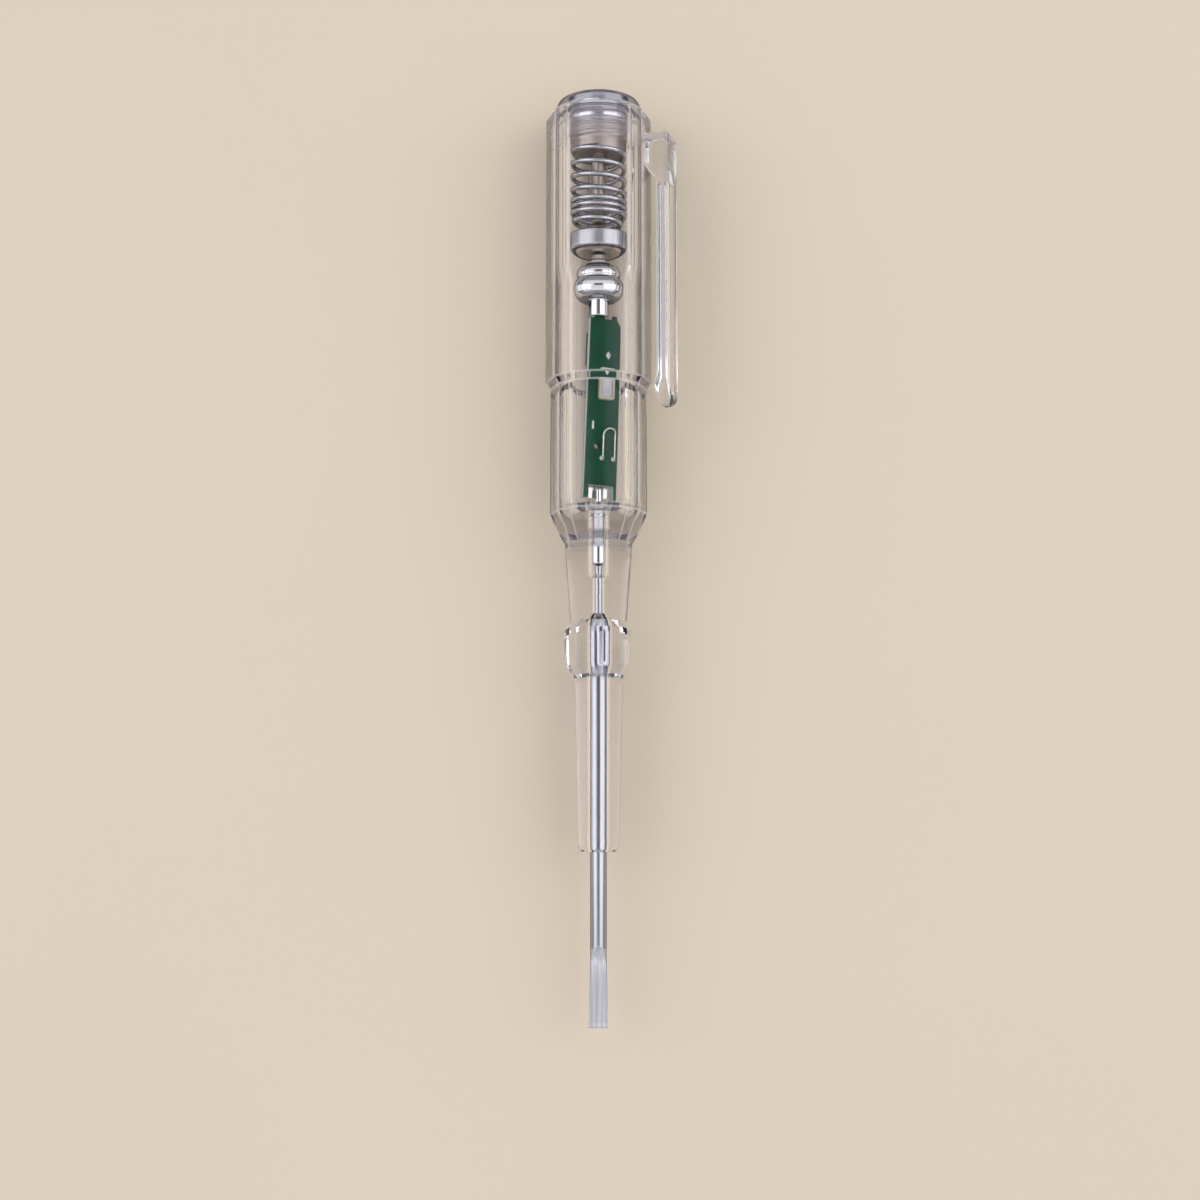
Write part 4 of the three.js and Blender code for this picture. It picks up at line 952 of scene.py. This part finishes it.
transistor_legs = [((x, x + 0.4), (26.9, 27.75)) for x in (-3.25, -2.55, -1.85)]
transistor = chip("black_transistor", (-3.45, -1.25), (27.7, 34.5), 1.6, black, transistor_legs)
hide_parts("amplifier_transistor")
driver_legs = [((2.0, 2.25), (y, y + 0.35)) for y in (34.7, 35.6)]
driver = chip("black_driver", (2.2, 3.3), (34.5, 38.5), 1.1, black, driver_legs)
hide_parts("lamp_driver")
resistor_ends = [((-0.8, 0.8), (7.1, 7.6)), ((-0.8, 0.8), (10.2, 10.7))]
resistor = chip("chip_resistor", (-0.8, 0.8), (7.3, 10.5), 0.6, black, resistor_ends)
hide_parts("limiting_resistor")
capacitor_ends = [((-0.62, 0.62), (15.65, 16.15)), ((-0.62, 0.62), (17.45, 17.95))]
capacitor = chip("tan_capacitor", (-0.62, 0.62), (15.8, 17.8), 0.9, tan, capacitor_ends)
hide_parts("chip_capacitor")


# Contact pin
# Nickel-plated turning pressed into the nose: a slim pin over the tab, a seating collar and a rod
# that meets the blade's tail.
PIN = [(0, 89.9), (0.97, 89.9), (1.22, 90.15), (1.22, 101.1), (1.8, 101.1)]
PIN += [(1.8, 101.8), (0.7, 101.8), (0.7, 105.0), (0.5, 105.2), (0, 105.2)]
PIN_EDGE = 0.15
pin = piece("nose_pin", turned(eased(PIN, PIN_EDGE), 64), nickel)
shaded(pin, 30)
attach(pin, "handle")
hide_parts("contact_pin")


# Blade
# Bright plated steel shaft, forged and ground to a flat tip, held in the nozzle by its round
# shank, with a domed shoulder and a thin tail that meets the contact pin.
SHAFT_RADIUS, TIP_RADIUS, TIP_LENGTH = 1.6, 1.85, 12.0
GROUND = [(0.0, 0.34), (0.1, 0.40), (4.0, 0.44), (8.0, 0.50), (10.5, 0.56), (12.0, 0.65)]
GROUND += [(12.8, 0.78), (13.5, 0.95), (14.2, 1.18), (14.9, 1.42), (15.4, 1.58), (15.8, 1.7)]
SHANK = [(16.2, 1.6), (78.0, 1.6), (78.4, 1.56), (78.8, 1.42), (79.15, 1.2), (79.4, 0.98)]
SHANK += [(79.6, 0.72), (79.8, 0.7), (89.6, 0.7)]
GROUND_STEPS, BLADE_COLUMNS = 4, 96
steel = Finish("blade_steel", Metallic=1.0, Specular_Tint=EDGE_TINT)
steel_along = steel.along("Y")
steel_ground = steel_along.ramp(station(15.4), station(14.6))
steel_marks = steel.noise(1.0, (3200, 40, 3200), detail=3.0)
steel_stains = steel.noise(160.0, (1, 0.4, 1), detail=4.0)
steel_plate = steel.mixed(steel_stains, (0.42, 0.43, 0.47, 1), (0.54, 0.55, 0.59, 1))
steel_lines = steel.mixed(steel_marks.ramp(0.3, 0.7), (0.56, 0.56, 0.60, 1), (0.80, 0.80, 0.84, 1))
steel.wear("Base Color", steel.mixed(steel_ground, steel_plate, steel_lines))
steel.wear("Roughness", 0.16 + 0.10 * steel_stains + 0.16 * steel_ground)
steel.bumped(steel_marks, 0.00003, 0.35)


def blade_ring(along, radius, half_thickness):
    """Section of a round bar that is ground flat on both faces."""
    ring = []
    for k in range(BLADE_COLUMNS):
        angle = 2 * math.pi * (k + 0.5) / BLADE_COLUMNS
        height = max(-half_thickness, min(half_thickness, radius * math.sin(angle)))
        ring.append((radius * math.cos(angle), along, height))
    return ring


blade_rings = []
for (from_along, from_half), (to_along, to_half) in zip(GROUND, GROUND[1:]):
    for k in range(GROUND_STEPS):
        along = from_along + (to_along - from_along) * k / GROUND_STEPS
        half_thickness = from_half + (to_half - from_half) * k / GROUND_STEPS
        widening = max(0.0, 1 - along / TIP_LENGTH)
        radius = SHAFT_RADIUS + (TIP_RADIUS - SHAFT_RADIUS) * widening
        blade_rings.append(blade_ring(along, radius, half_thickness))
blade_rings += [blade_ring(along, radius, radius) for along, radius in SHANK]
blade = piece("flat_blade", lofted(blade_rings), steel)
shaded(blade, 40)
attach(blade, "handle")
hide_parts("blade")
